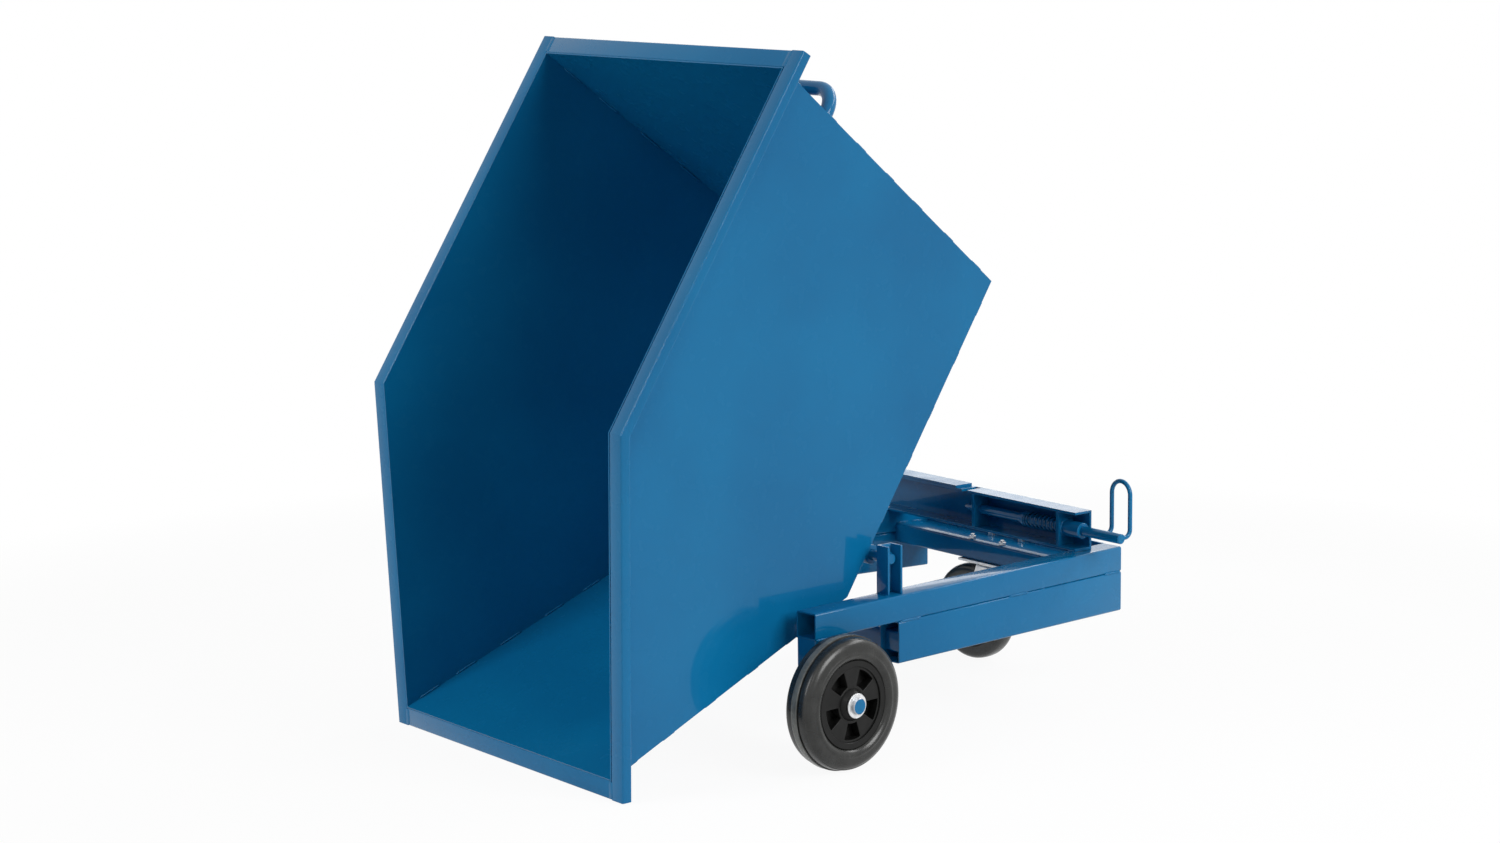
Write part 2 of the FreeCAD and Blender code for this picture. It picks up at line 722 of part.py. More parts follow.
def back_lean():
    """Give the lean of the back wall from upright."""
    return math.degrees(math.atan2(v("wall_top") - v("floor_rear"), v("skip_depth")))


def make_skip_sheets():
    """Make the two side panels, the bottom, the back wall and the front slope."""
    lean = math.degrees(math.atan(v("side_taper")))
    stretch = "sqrt(1 + side_taper * side_taper)"
    low = f"-skip_depth * {stretch}"
    corners = [("wall_top", "0"), ("rim_bend", "0"), ("mouth_reach", f"(mouth_level - rim_level) * {stretch}"),
               ("floor_front", low), ("floor_rear", low)]
    for label, side in SIDES.items():
        panel = plate(f"panel_{label}", "XZ_Plane", corners, "sheet_thickness", side < 0)
        top_edge = Placement(Vector(0, side * v("top_half"), v("rim_level")), Rotation(ALONG_X, -side * lean))
        node(f"side_panel_{label}", panel, skip_frame().multiply(top_edge))
    inset = f"(sheet_thickness * {stretch} + weld_gap)"
    floor_half = f"(bottom_half - {inset})"
    floor = plate("floor", "XY_Plane", [("floor_rear", f"-{floor_half}"), ("floor_front", f"-{floor_half}"),
                                        ("floor_front", floor_half), ("floor_rear", floor_half)], "sheet_thickness")
    node("bottom_plate", floor, skip_frame().multiply(shift(0, 0, v("hinge_drop"))))
    top_half = f"(top_half - {inset})"
    foot = "sheet_thickness + weld_gap"
    back_rise = "sqrt(skip_depth * skip_depth + (floor_rear - wall_top) * (floor_rear - wall_top))"
    back = plate("back_wall_plate", "YZ_Plane", [(f"-{floor_half}", foot), (floor_half, foot),
                                                 (top_half, back_rise), (f"-{top_half}", back_rise)],
                 "sheet_thickness")
    node("back_wall", back, wall_frame(v("floor_rear"), v("hinge_drop"), back_lean()))
    run = "(mouth_reach - floor_front)"
    rise = "(mouth_level - hinge_drop)"
    slope_length = f"sqrt({run} * {run} + {rise} * {rise})"
    mouth_half = f"(top_half - side_taper * (rim_level - mouth_level) - {inset})"
    slope = plate("slope", "YZ_Plane", [(f"-{floor_half}", foot), (floor_half, foot),
                                        (mouth_half, slope_length), (f"-{mouth_half}", slope_length)],
                  "sheet_thickness", True)
    slope_lean = math.degrees(math.atan2(v("mouth_reach") - v("floor_front"), v("mouth_level") - v("hinge_drop")))
    node("front_slope", slope, wall_frame(v("floor_front"), v("hinge_drop"), slope_lean))


def make_rim():
    """Make the tube round the mouth: a bar at the back, two bent side bars and a bar at the lip."""
    top = hollow_bar("top_bar", "2 * (top_half - weld_gap)", "rim_width - weld_gap", "rim_height", "rim_wall",
                     "rim_corner")
    half = v("top_half") - v("weld_gap")
    corner = Vector(v("wall_top") - v("weld_gap"), -half, v("rim_level") - v("rim_height"))
    node("rim_top_bar", top, skip_frame().multiply(Placement(corner, Rotation(ALONG_Z, 90))))
    outward = Vector(v("rim_fall"), 0, v("rim_run")) * (1 / v("rim_slant"))
    upward = Vector(-v("rim_run"), 0, v("rim_fall")) * (1 / v("rim_slant"))
    lip_half = "(top_half - side_taper * rim_fall - weld_gap)"
    lip = hollow_bar("lip_bar", f"2 * {lip_half}", "rim_width - weld_gap", "rim_height", "rim_wall", "rim_corner")
    lip_corner = Vector(v("lip_reach"), v("weld_gap") - side_half(v("lip_level")), v("lip_level"))
    lip_place = Placement(lip_corner - outward * v("rim_height"), Rotation(ALONG_Y, upward, outward, "XYZ"))
    node("rim_lip_bar", lip, skip_frame().multiply(lip_place))
    for label, side in SIDES.items():
        bar = doc.addObject("Part::Feature", f"side_bar_{label}")
        bar.Shape = bent_bar(side, 0, outward).cut(bent_bar(side, v("rim_wall"), outward))
        node(f"rim_side_bar_{label}", bar, skip_frame())


def bent_bar(side, wall, outward):
    """Loft a side bar of the rim through its rear end, its bend and its lip end, less a wall."""
    turn = math.atan2(v("rim_fall"), v("rim_run"))
    stations = ((v("rim_rear"), v("rim_level"), 0), (v("rim_bend"), v("rim_level"), math.tan(turn / 2)),
                (v("lip_reach"), v("lip_level"), None))
    sections = []
    for x, z, mitre in stations:
        near = side_half(z) + v("weld_gap") + wall
        far = side_half(z) + v("rim_width") - wall
        corners = []
        for depth, y in ((wall, near), (wall, far), (v("rim_height") - wall, far), (v("rim_height") - wall, near)):
            if mitre is None:
                place = Vector(x, 0, z) - outward * depth
            else:
                place = Vector(x - depth * mitre, 0, z - depth)
            corners.append(place + ALONG_Y * (side * y))
        sections.append(Part.makePolygon(corners + corners[:1]))
    return Part.makeLoft(sections, True, True)


def make_push_handle():
    """Make the tube handle that stands out from the back wall."""
    level = v("skip_depth") / math.cos(math.radians(back_lean())) - v("handle_drop")
    gap = v("weld_gap")
    reach = -v("handle_reach")
    foot = [Vector(-gap, side * v("handle_half"), level) for side in (-1, 1)]
    corner = [Vector(reach, side * v("handle_half"), level) for side in (-1, 1)]
    first, second, near_arc = bend(foot[0], corner[0], corner[1], v("handle_bend"))
    third, fourth, far_arc = bend(corner[0], corner[1], foot[1], v("handle_bend"))
    path = Part.Wire([line(foot[0], first), near_arc, line(second, third), far_arc, line(fourth, foot[1])])
    handle = wire_tube("handle", path, [v("handle_radius"), v("handle_radius") - v("handle_wall")])
    node("push_handle", handle, wall_frame(v("floor_rear"), v("hinge_drop"), back_lean()))


def make_hinge_and_catch():
    """Make the hinge sleeves and the catch lug under the bottom plate."""
    for label, side in SIDES.items():
        low_y = v("sleeve_outer") - v("sleeve_length") if side > 0 else -v("sleeve_outer")
        barrel = round_bar(f"barrel_{label}", "sleeve_radius", "sleeve_length", Vector(0, low_y, 0), ALONG_Y)
        saddle = box(f"saddle_{label}", "saddle_width", "sleeve_length", "hinge_drop - weld_gap",
                     Vector(-v("saddle_width") / 2, low_y, 0))
        bore = round_bar(f"sleeve_bore_{label}", "shaft_radius + fit_gap", "sleeve_length + 2 * overrun",
                         Vector(0, low_y - v("overrun"), 0), ALONG_Y)
        bored = cut(f"sleeve_bored_{label}", join(f"sleeve_block_{label}", [barrel, saddle]), [bore])
        node(f"hinge_sleeve_{label}", bored, skip_frame())
    middle_x = v("latch_x") - v("pivot_x")
    hole_z = v("pin_level") - v("pivot_height")
    low_y = v("lug_middle") - v("lug_thickness") / 2
    tongue = box("lug_tongue", "lug_width", "lug_thickness",
                 "hinge_drop - weld_gap - pin_level + pivot_height + lug_tail",
                 Vector(middle_x - v("lug_width") / 2, low_y, hole_z - v("lug_tail")))
    hole = round_bar("lug_hole", "lug_hole_radius", "lug_thickness + 2 * overrun",
                     Vector(middle_x, low_y - v("overrun"), hole_z), ALONG_Y)
    tip = round_bar("lug_tip", "lug_tail", "lug_thickness", Vector(middle_x, low_y, hole_z), ALONG_Y)
    node("catch_lug", cut("lug_cut", join("lug_block", [tongue, tip]), [hole]), skip_frame())


# Swivel caster
def caster_frame():
    """Place the caster's swivel axis at the floor, turned as it stands."""
    return Placement(Vector(v("caster_x"), 0, 0), Rotation(ALONG_Z, v("caster_angle")))


def bolt_places():
    """Give the four bolt axes, at the underside of the caster rail."""
    return [Vector(v("caster_x") + x * v("bolt_spacing_x") / 2, y * v("bolt_spacing_y") / 2, v("caster_height"))
            for x in (-1, 1) for y in (-1, 1)]


def make_caster_plate():
    """Make the top plate, its bolts and nuts, the race and the kingpin."""
    plate_low = v("caster_height") - v("caster_plate_thickness")
    top = box("caster_top", "caster_plate_length", "caster_plate_width", "caster_plate_thickness - weld_gap",
              Vector(v("caster_x") - v("caster_plate_length") / 2, -v("caster_plate_width") / 2, plate_low))
    holes = [round_bar(f"plate_hole_{number}", "bolt_hole_radius", "2 * caster_plate_thickness",
                       place - ALONG_Z * (2 * v("caster_plate_thickness") - v("overrun") / 2), ALONG_Z)
             for number, place in enumerate(bolt_places())]
    node("caster_plate", cut("caster_top_drilled", top, holes))
    bolts = []
    nuts = []
    for number, place in enumerate(bolt_places()):
        head_low = place - ALONG_Z * (v("caster_plate_thickness") + v("bolt_head") + v("weld_gap"))
        head = hexagon(f"bolt_head_{number}", "bolt_head", head_low)
        shank = round_bar(f"bolt_shank_{number}", "bolt_radius",
                          "bolt_head + caster_plate_thickness + caster_rail_height + nut_height + bolt_tail",
                          head_low, ALONG_Z)
        bolts.append(join(f"bolt_{number}", [head, shank]))
        nut_low = place + ALONG_Z * (v("caster_rail_height") + v("weld_gap"))
        bore = round_bar(f"nut_bore_{number}", "bolt_radius + fit_gap", "2 * nut_height",
                         nut_low - ALONG_Z * (v("nut_height") / 2), ALONG_Z)
        nuts.append(cut(f"nut_{number}", hexagon(f"nut_block_{number}", "nut_height", nut_low), [bore]))
    node("caster_bolts", group("bolts", bolts))
    node("caster_nuts", group("nuts", nuts))
    axis = Vector(v("caster_x"), 0, 0)
    race_low = v("race_low")
    race = round_bar("race", "race_radius", "race_height", axis + ALONG_Z * race_low, ALONG_Z)
    race_bore = round_bar("race_bore", "kingpin_radius + fit_gap", "race_height + 2 * overrun",
                          axis + ALONG_Z * (race_low - v("overrun")), ALONG_Z)
    node("swivel_race", cut("race_cut", race, [race_bore]))
    pin_low = v("crown_low") - v("play") - v("kingpin_head")
    pin_head = round_bar("kingpin_head_disc", "kingpin_head_radius", "kingpin_head", axis + ALONG_Z * pin_low, ALONG_Z)
    pin_shank = round_bar("kingpin_shank", "kingpin_radius",
                          "kingpin_head + crown_thickness + race_height + 2 * play",
                          axis + ALONG_Z * pin_low, ALONG_Z)
    node("caster_kingpin", join("kingpin", [pin_head, pin_shank]))


def hexagon(name, height, low):
    """Make a six-sided head or nut block."""
    item = doc.addObject("Part::Prism", name)
    item.Polygon = 6
    bind(item, Circumradius="nut_radius", Height=height)
    item.Placement = Placement(low, Rotation())
    return item


def make_caster_fork():
    """Make the fork with its crown and two legs, and the axle bolt."""
    low = v("crown_low")
    crown = round_bar("crown", "crown_radius", "crown_thickness", ALONG_Z * low, ALONG_Z)
    bore = round_bar("crown_bore", "kingpin_radius + fit_gap", "crown_thickness + 2 * overrun",
                     ALONG_Z * (low - v("overrun")), ALONG_Z)
    axle_drop = "caster_radius - crown_low"
    corners = [("-fork_top_half", "crown_thickness"), ("caster_trail - fork_boss", f"{axle_drop} - fork_boss"),
               ("caster_trail + fork_boss", f"{axle_drop} - fork_boss"), ("fork_top_half", "crown_thickness")]
    pieces = [crown]
    for label, side in SIDES.items():
        leg = plate(f"leg_{label}", "XZ_Plane", corners, "fork_leg", side > 0)
        leg.Placement = shift(0, side * v("fork_half"), low)
        pieces.append(leg)
    axle_start = Vector(v("caster_trail"), -v("fork_half") - 2 * v("overrun"), v("caster_radius"))
    axle_hole = round_bar("fork_axle_hole", "caster_axle_radius + fit_gap", "2 * fork_half + 4 * overrun",
                          axle_start, ALONG_Y)
    fork = cut("fork_cut", join("fork", pieces), [bore, axle_hole])
    node("caster_fork", fork, caster_frame())
    outer = v("fork_half") + v("fork_leg") + v("weld_gap")
    shank = round_bar("caster_shank", "caster_axle_radius",
                      "2 * (fork_half + fork_leg + weld_gap + nut_height)",
                      Vector(v("caster_trail"), -outer - v("nut_height"), v("caster_radius")), ALONG_Y)
    ends = []
    for label, side in SIDES.items():
        end = hexagon(f"caster_axle_end_{label}", "nut_height", Vector())
        start = Vector(v("caster_trail"), side * outer, v("caster_radius"))
        end.Placement = Placement(start, Rotation(ALONG_Z, ALONG_Y * side))
        ends.append(end)
    node("caster_axle", join("caster_bolt", [shank] + ends), caster_frame())


def make_caster_wheel():
    """Make the caster's tyre, rim and bearing."""
    frame = caster_frame().multiply(shift(v("caster_trail"), 0, v("caster_radius")))
    tyre = turned("caster_tyre_body", tyre_profile("caster_radius", "caster_width", "caster_tread_half",
                                                   "caster_shoulder", "caster_seat", "caster_width / 2",
                                                   "caster_shoulder"))
    node("caster_tyre", tyre, frame)
    near = [("caster_bearing_radius + fit_gap", "caster_hub_length / 2"),
            ("caster_hub_radius", "caster_hub_length / 2"), ("caster_hub_radius", "caster_web_half"),
            ("caster_seat - caster_shoulder", "caster_web_half"), ("caster_seat - caster_shoulder", "caster_width / 2"),
            ("caster_seat", "caster_width / 2")]
    far = [(across, f"-({along})") for across, along in reversed(near)]
    node("caster_rim", turned("caster_rim_body", near + far), frame)
    node("caster_bearing", sleeve("caster_bearing_body", "caster_bearing_radius", "caster_axle_radius + fit_gap",
                                  "caster_hub_length"), frame)


make_rails()
make_cross_members()
make_axles()
make_wheels()
make_pivot()
make_latch_channel()
make_latch()
make_skip_sheets()
make_rim()
make_push_handle()
make_hinge_and_catch()
make_caster_plate()
make_caster_fork()
make_caster_wheel()
doc.recompute()

for item in doc.Objects:
    if "Invalid" in item.State or "Error" in item.State:
        raise RuntimeError(f"{item.Label} did not build: {item.State}")
os.makedirs("parts", exist_ok=True)
for item in nodes:
    if item.Shape.isNull() or not item.Shape.isValid():
        raise RuntimeError(f"{item.Label} has no valid shape")
    item.Shape.exportStep(f"parts/{item.Label}.step")
print(len(nodes), "parts written")
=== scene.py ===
import itertools
import json
import math
import random
from types import SimpleNamespace

import bmesh
import bpy
from bpy.props import FloatProperty, FloatVectorProperty, IntProperty, PointerProperty
from mathutils import Matrix, Vector, noise


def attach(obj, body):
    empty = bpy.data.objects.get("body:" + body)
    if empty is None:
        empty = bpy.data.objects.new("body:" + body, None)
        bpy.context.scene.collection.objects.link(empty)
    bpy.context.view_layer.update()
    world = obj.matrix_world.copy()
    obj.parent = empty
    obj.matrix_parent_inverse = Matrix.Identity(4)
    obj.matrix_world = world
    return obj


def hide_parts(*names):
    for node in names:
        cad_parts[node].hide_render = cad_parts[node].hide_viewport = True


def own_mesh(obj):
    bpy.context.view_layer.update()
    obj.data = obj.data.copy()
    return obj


bl_info = {
    "name": "Tipping skip trolley",
    "version": (1, 0, 0),
    "blender": (4, 5, 0),
    "location": "3D View > Sidebar > Trolley",
    "description": "Dresses the packed frame of a tipping skip trolley with its pieces, paint and stage",
    "category": "Add Mesh",
}

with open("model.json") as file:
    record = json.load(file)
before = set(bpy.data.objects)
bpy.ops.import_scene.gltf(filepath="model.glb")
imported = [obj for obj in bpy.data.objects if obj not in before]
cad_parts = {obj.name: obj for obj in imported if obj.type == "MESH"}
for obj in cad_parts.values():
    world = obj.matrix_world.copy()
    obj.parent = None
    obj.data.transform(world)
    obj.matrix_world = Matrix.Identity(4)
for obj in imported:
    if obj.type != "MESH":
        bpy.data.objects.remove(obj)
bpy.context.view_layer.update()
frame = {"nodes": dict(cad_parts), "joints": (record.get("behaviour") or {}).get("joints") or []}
joints = {joint["name"]: joint for joint in frame["joints"]}
SIDES = {"left": 1, "right": -1}
FULL_TURN = 2 * math.pi
QUARTER = math.pi / 2
# Turns a shape made along Z into one along X, with its own X and Y going to Y and Z
ALONG_BAR = Matrix(((0, 0, 1, 0), (1, 0, 0, 0), (0, 1, 0, 0), (0, 0, 0, 1)))
STILL = Matrix.Identity(4)
# Air between pieces that are welded or pressed together, and between pieces that turn on each other
GAP = 0.0001
RUNNING_GAP = 0.0003
# Corners nearer than this are one, in new shapes and in shapes from the CAD
SAME_PLACE = 1e-6
JOIN_DISTANCE = 1e-5
# Edges of a CAD shape where faces meet at more than this angle are softened
CAD_EDGE = math.radians(40)
# Radius of the weld beads on the chassis
BEAD = 0.0028
# Faces that meet at less than this angle are shaded as one on welds
WELD_SHADING = 0.9
# Each lamp's place, the point it looks at, its width, height and power
LAMPS = {
    "key_lamp": ((-1.3, 5.2, 3.1), (0, 0, 0.5), 3.0, 3.0, 245),
    "front_lamp": ((5.5, -1.0, 3.6), (0.2, 0, 0.6), 3.0, 3.0, 215),
    "edge_lamp": ((3.4, 3.7, 3.7), (0.2, 0, 0.7), 0.8, 0.8, 20),
    "top_lamp": ((-4.6, 0.6, 3.9), (0, 0, 0.4), 6.0, 1.2, 120),
    "back_lamp": ((-3.6, -4.7, 1.35), (0, 0, 0.6), 3.6, 1.4, 22),
}


def span(label, words, size):
    """Declare a length that a user may change."""
    return FloatProperty(name=label, description=words, default=size, unit="LENGTH", precision=4)


def tilt(label, words, degrees):
    """Declare an angle that a user may change."""
    return FloatProperty(name=label, description=words, default=math.radians(degrees), subtype="ANGLE")


def shade(label, words, colour):
    """Declare a colour that a user may change."""
    return FloatVectorProperty(name=label, description=words, default=colour, subtype="COLOR", min=0, max=1)


class ChassisSizes(bpy.types.PropertyGroup):
    """Sizes of the chassis"""
    rail_front: span("Rail front", "How far forward the upper rails reach", 0.207)
    rail_half: span("Rail half span", "Half the span over the rails' front ends", 0.398)
    half_length: span("Half length", "Half the length of the tipped trolley", 0.638)
    toe: tilt("Toe", "Angle by which each rail turns in towards the rear", 5.5)
    rail_width: span("Rail width", "Width of the rails", 0.05)
    rail_wall: span("Rail wall", "Wall of the rails", 0.003)
    rail_corner: span("Rail corner", "Corner radius of the rails", 0.0045)
    upper_height: span("Upper height", "Height of the upper rails", 0.05)
    lower_height: span("Lower height", "Height of the lower rails", 0.08)
    ground_gap: span("Ground gap", "Height of the lower rails above the floor", 0.156)
    lower_front: span("Lower front", "How far forward the lower rails reach", -0.009)
    post_foot: span("Post foot", "Height of the foot of the wheel posts", 0.092)
    cross_size: span("Cross tube", "Side of the square front cross tube", 0.04)
    cross_setback: span("Cross setback", "Distance of the cross tube behind the lower rails' ends", 0.006)
    cross_lift: span("Cross lift", "Height of the cross tube above the lower rails' undersides", 0.018)
    caster_rail_depth: span("Caster rail depth", "Depth of the rail that carries the caster", 0.08)
    caster_rail_height: span("Caster rail height", "Height of the rail that carries the caster", 0.04)
    rear_plate: span("Rear plate", "Thickness of the rear plate", 0.006)
    rear_plate_height: span("Rear plate height", "Height of the rear plate", 0.0698)
    post_depth: span("Pivot post depth", "Depth of the pivot posts", 0.036)
    post_width: span("Pivot post width", "Width of the pivot posts", 0.033)
    post_wall: span("Pivot post wall", "Wall of the pivot posts", 0.005)
    post_half: span("Pivot post half span", "Half the span between the pivot posts", 0.333)
    post_height: span("Pivot post height", "Height of the pivot posts", 0.092)
    shaft_radius: span("Shaft radius", "Radius of the pivot shaft", 0.01)
    shaft_half: span("Shaft half length", "Half the length of the pivot shaft", 0.356)
    collar_length: span("Shaft collar", "Length of the collars on the pivot shaft", 0.009)


class WheelSizes(bpy.types.PropertyGroup):
    """Sizes of the front wheels and their axles"""
    radius: span("Radius", "Radius of the wheels", 0.125)
    seat: span("Seat", "Radius at which the tyre sits on its rim", 0.082)
    rim_inner: span("Rim inside", "Inside radius of the rim's band", 0.07)
    hub_radius: span("Hub radius", "Radius of the hub at the web", 0.03)
    hub_half: span("Hub half length", "Half the length of the hub", 0.033)
    axle_radius: span("Axle radius", "Radius of the stub axles", 0.015)
    axle_inner: span("Axle inner end", "Length of axle inside the wheel's middle", 0.094)
    axle_outer: span("Axle outer end", "Length of axle outside the wheel's middle", 0.044)
    offset: span("Offset", "Distance of the wheel's middle from the rail's outer face", 0.044)
    washer_radius: span("Washer radius", "Radius of the axle washers", 0.023)
    washer_thickness: span("Washer thickness", "Thickness of the axle washers", 0.004)
    pocket_count: IntProperty(name="Pockets", description="Number of pockets in a rim's face", default=5, min=3, max=9)
    web_half: span("Web half thickness", "Half the thickness of a rim between hub and band", 0.024)
    band_half: span("Band half width", "Half the width of a rim's outer band", 0.027)
    bore: span("Bore", "Radius of the hub's bore", 0.0181)
    pocket_floor: span("Pocket floor", "Thickness of the wall between the pockets of both faces", 0.008)
    caster_radius: span("Caster radius", "Radius of the caster's wheel", 0.1)
    caster_seat: span("Caster seat", "Radius at which the caster's tyre sits", 0.074)


class LatchSizes(bpy.types.PropertyGroup):
    """Sizes of the latch"""
    axis_x: span("Axis", "Distance of the latch pin along the trolley", -0.554)
    level: span("Level", "Height of the latch pin", 0.325)
    pin_radius: span("Pin radius", "Radius of the latch pin", 0.01)
    pin_tip: span("Pin tip", "Where the pin's nose starts across the trolley", -0.052)
    pin_nose: span("Pin nose", "Length of the pin's nose", 0.022)
    pin_end: span("Pin end", "Where the pin ends across the trolley", 0.404)
    collar_start: span("Collar start", "Where the pin's collar starts", 0.125)
    collar_end: span("Collar end", "Where the pin's collar ends and the spring starts", 0.133)
    collar_radius: span("Collar radius", "Radius of the pin's collar", 0.015)
    spring_end: span("Spring end", "Where the spring meets the end plate", 0.24)
    spring_radius: span("Spring radius", "Radius of the spring at the middle of its wire", 0.01375)
    spring_wire: span("Spring wire", "Radius of the spring's wire", 0.00175)
    spring_turns: IntProperty(name="Spring turns", description="Open turns of the spring", default=8, min=3, max=20)
    bushing_radius: span("Bushing radius", "Radius of the pin's bushing", 0.016)
    bushing_start: span("Bushing start", "Where the bushing leaves the end plate", 0.2481)
    bushing_end: span("Bushing end", "Where the bushing ends", 0.2961)
    loop_wire: span("Loop wire", "Radius of the pull loop's wire", 0.0045)
    loop_inner: span("Loop inner leg", "Where the loop's inner leg stands", 0.345)
    loop_outer: span("Loop outer leg", "Where the loop's outer leg stands", 0.396)
    loop_setback: span("Loop setback", "Distance of the loop behind the pin", 0.03)
    loop_rise: span("Loop rise", "Height of the loop above the pin", 0.107)
    loop_bend: span("Loop bend", "Radius of the loop's lower bends", 0.014)


class SkipSizes(bpy.types.PropertyGroup):
    """Sizes of the skip about its pivot, as it stands upright"""
    tip: tilt("Tip", "Angle between the upright and the tipped skip", 57.5)
    sheet: span("Sheet", "Thickness of the sheets", 0.0025)
    hinge_drop: span("Hinge drop", "Height of the bottom above the pivot", 0.02)
    floor_front: span("Floor front", "Front edge of the bottom", 0.096)
    floor_rear: span("Floor rear", "Rear edge of the bottom", -0.570992)
    depth: span("Depth", "Depth of the skip", 0.694)
    rim_rear: span("Rim rear", "Rear edge of the rim", -0.674992)
    rim_bend: span("Rim bend", "Where the rim bends down", 0.084)
    lip_reach: span("Lip reach", "How far forward the lip reaches", 0.6362)
    lip_level: span("Lip level", "Height of the lip above the pivot", 0.346)
    rim_width: span("Rim width", "Width of the rim's tube", 0.035)
    rim_height: span("Rim height", "Height of the rim's tube", 0.02)
    rim_wall: span("Rim wall", "Wall of the rim's tube", 0.0025)
    rim_corner: span("Rim corner", "Corner radius of the rim's tube", 0.003)
    top_half: span("Top half width", "Half the width of the skip at its rim", 0.371)
    bottom_half: span("Bottom half width", "Half the width of the skip at its bottom", 0.3085)
    warp: span("Warp", "How far the sheets depart from flat", 0.0007)
    handle_radius: span("Handle radius", "Radius of the push handle's tube", 0.0135)
    handle_bend: span("Handle bend", "Radius of the push handle's bends", 0.06)
    handle_half: span("Handle half width", "Half the width of the push handle", 0.3)
    handle_reach: span("Handle reach", "How far the push handle stands out", 0.074)
    handle_drop: span("Handle drop", "Distance of the push handle below the rim", 0.178)


class Finishes(bpy.types.PropertyGroup):
    """Colours of the finishes"""
    enamel: shade("Enamel", "Blue of the painted steel", (0.003, 0.15, 0.335))
    enamel_deep: shade("Deep enamel", "Darker blue where the paint lies thicker", (0.0025, 0.128, 0.298))
    enamel_rubbed: shade("Rubbed enamel", "Lighter blue of rub marks in the paint", (0.09, 0.2, 0.33))
    rubber: shade("Rubber", "Black of the tyres", (0.0115, 0.012, 0.0112))
    tread: shade("Tread", "Grey of the worn tread", (0.1, 0.1, 0.09))
    plastic: shade("Plastic", "Black of the rims", (0.0042, 0.0044, 0.0042))
    zinc: shade("Zinc", "Grey of the zinc plating", (0.66, 0.67, 0.68))
    washer: shade("Washer", "Lighter grey of the zinc on the axle washers", (0.78, 0.79, 0.8))
    steel: shade("Steel", "Grey of plain steel", (0.42, 0.44, 0.47))
    floor: shade("Floor", "White of the floor near the trolley", (0.86, 0.86, 0.86))
    # Painted shade: the floor's colour turns grey away from the trolley, standing in for the lamps' light falling off
    # with distance
    floor_painted_falloff: shade("Far floor", "Grey of the floor away from the lamps", (0.04, 0.04, 0.04))


class CameraSetting(bpy.types.PropertyGroup):
    """Place of the camera that matches the picture"""
    azimuth: tilt("Azimuth", "Direction of the camera from the front of the trolley", 52.421)
    elevation: tilt("Elevation", "Angle of the camera above the horizon", 9.429)
    roll: tilt("Roll", "Turn of the camera about its line of sight", -0.618)
    distance: span("Distance", "Distance of the camera from the trolley", 6.3415)
    focal: FloatProperty(name="Focal length", description="Focal length of the lens, in millimetres",
                         default=79.149, min=10, unit="CAMERA")
    sensor: FloatProperty(name="Sensor width", description="Width of the sensor, in millimetres",
                          default=36, min=1, unit="CAMERA")
    target: FloatVectorProperty(name="Target", description="Point that the camera looks at",
                                default=(0.0468, 0.0011, 0.5735), subtype="TRANSLATION", unit="LENGTH")


def settings(name):
    """Give one of the groups of settings."""
    return getattr(bpy.context.scene, "trolley_" + name)


# Shapes
def gather(shapes):
    """Bring shapes, each with its place, into one mesh."""
    joined = bmesh.new()
    for shape, place in shapes:
        shape.transform(place)
        if place.determinant() < 0:
            bmesh.ops.reverse_faces(shape, faces=shape.faces[:])
        part = bpy.data.meshes.new("part")
        shape.to_mesh(part)
        shape.free()
        joined.from_mesh(part)
        bpy.data.meshes.remove(part)
    return joined


def soften(mesh, edges, offset, segments=2):
    """Round edges off."""
    bmesh.ops.bevel(mesh, geom=edges, offset=offset, affect="EDGES", segments=segments, profile=0.5, material=-1)


def sharp_edges(mesh, angle=0.7):
    """Find the edges where faces meet at more than an angle."""
    return [edge for edge in mesh.edges if edge.is_manifold and edge.calc_face_angle() > angle]


def picked(items, kind):
    """Pick the corners, edges or faces out of what an operator made."""
    return [item for item in items if isinstance(item, kind)]


def whole(mesh):
    """Give all corners, edges and faces of a mesh."""
    return mesh.verts[:] + mesh.edges[:] + mesh.faces[:]


def lift(mesh, faces, vector):
    """Extrude faces along a vector and close the walls."""
    made = bmesh.ops.extrude_face_region(mesh, geom=faces)["geom"]
    bmesh.ops.translate(mesh, verts=picked(made, bmesh.types.BMVert), vec=vector)
    bmesh.ops.recalc_face_normals(mesh, faces=mesh.faces[:])


def round_section(width, height, corner, steps=4):
    """Lay out a rectangle with round corners whose low corner is at the origin."""
    mesh = bmesh.new()
    middle = Matrix.Translation((width / 2, height / 2, 0)) @ Matrix.Diagonal((width, height, 1, 1))
    made = bmesh.ops.create_grid(mesh, x_segments=1, y_segments=1, size=0.5, matrix=middle)
    bmesh.ops.bevel(mesh, geom=made["verts"], offset=corner, affect="VERTICES", segments=steps, profile=0.5,
                    material=-1)
    return mesh


def hollow_section(width, height, wall, corner):
    """Lay out the wall of a rectangular tube."""
    mesh = round_section(width, height, corner)
    bmesh.ops.inset_region(mesh, faces=mesh.faces[:], thickness=wall, use_even_offset=True, use_boundary=True)
    inside = max(mesh.faces, key=lambda face: len(face.verts))
    bmesh.ops.delete(mesh, geom=[inside], context="FACES_ONLY")
    return mesh


def tube(length, width, height, wall, corner, edge=0.0005):
    """Make a rectangular tube along X with open ends and softened end edges."""
    mesh = hollow_section(width, height, wall, corner)
    lift(mesh, mesh.faces[:], (0, 0, length))
    rims = [item for item in sharp_edges(mesh) if abs(item.verts[0].co.z - item.verts[1].co.z) < edge]
    soften(mesh, rims, edge)
    mesh.transform(ALONG_BAR)
    return mesh


def profile_bar(points, length, edge):
    """Make a solid bar along Z from the corners of its section."""
    mesh = bmesh.new()
    mesh.faces.new([mesh.verts.new((x, y, 0)) for x, y in points])
    lift(mesh, mesh.faces[:], (0, 0, length))
    soften(mesh, sharp_edges(mesh), edge)
    return mesh


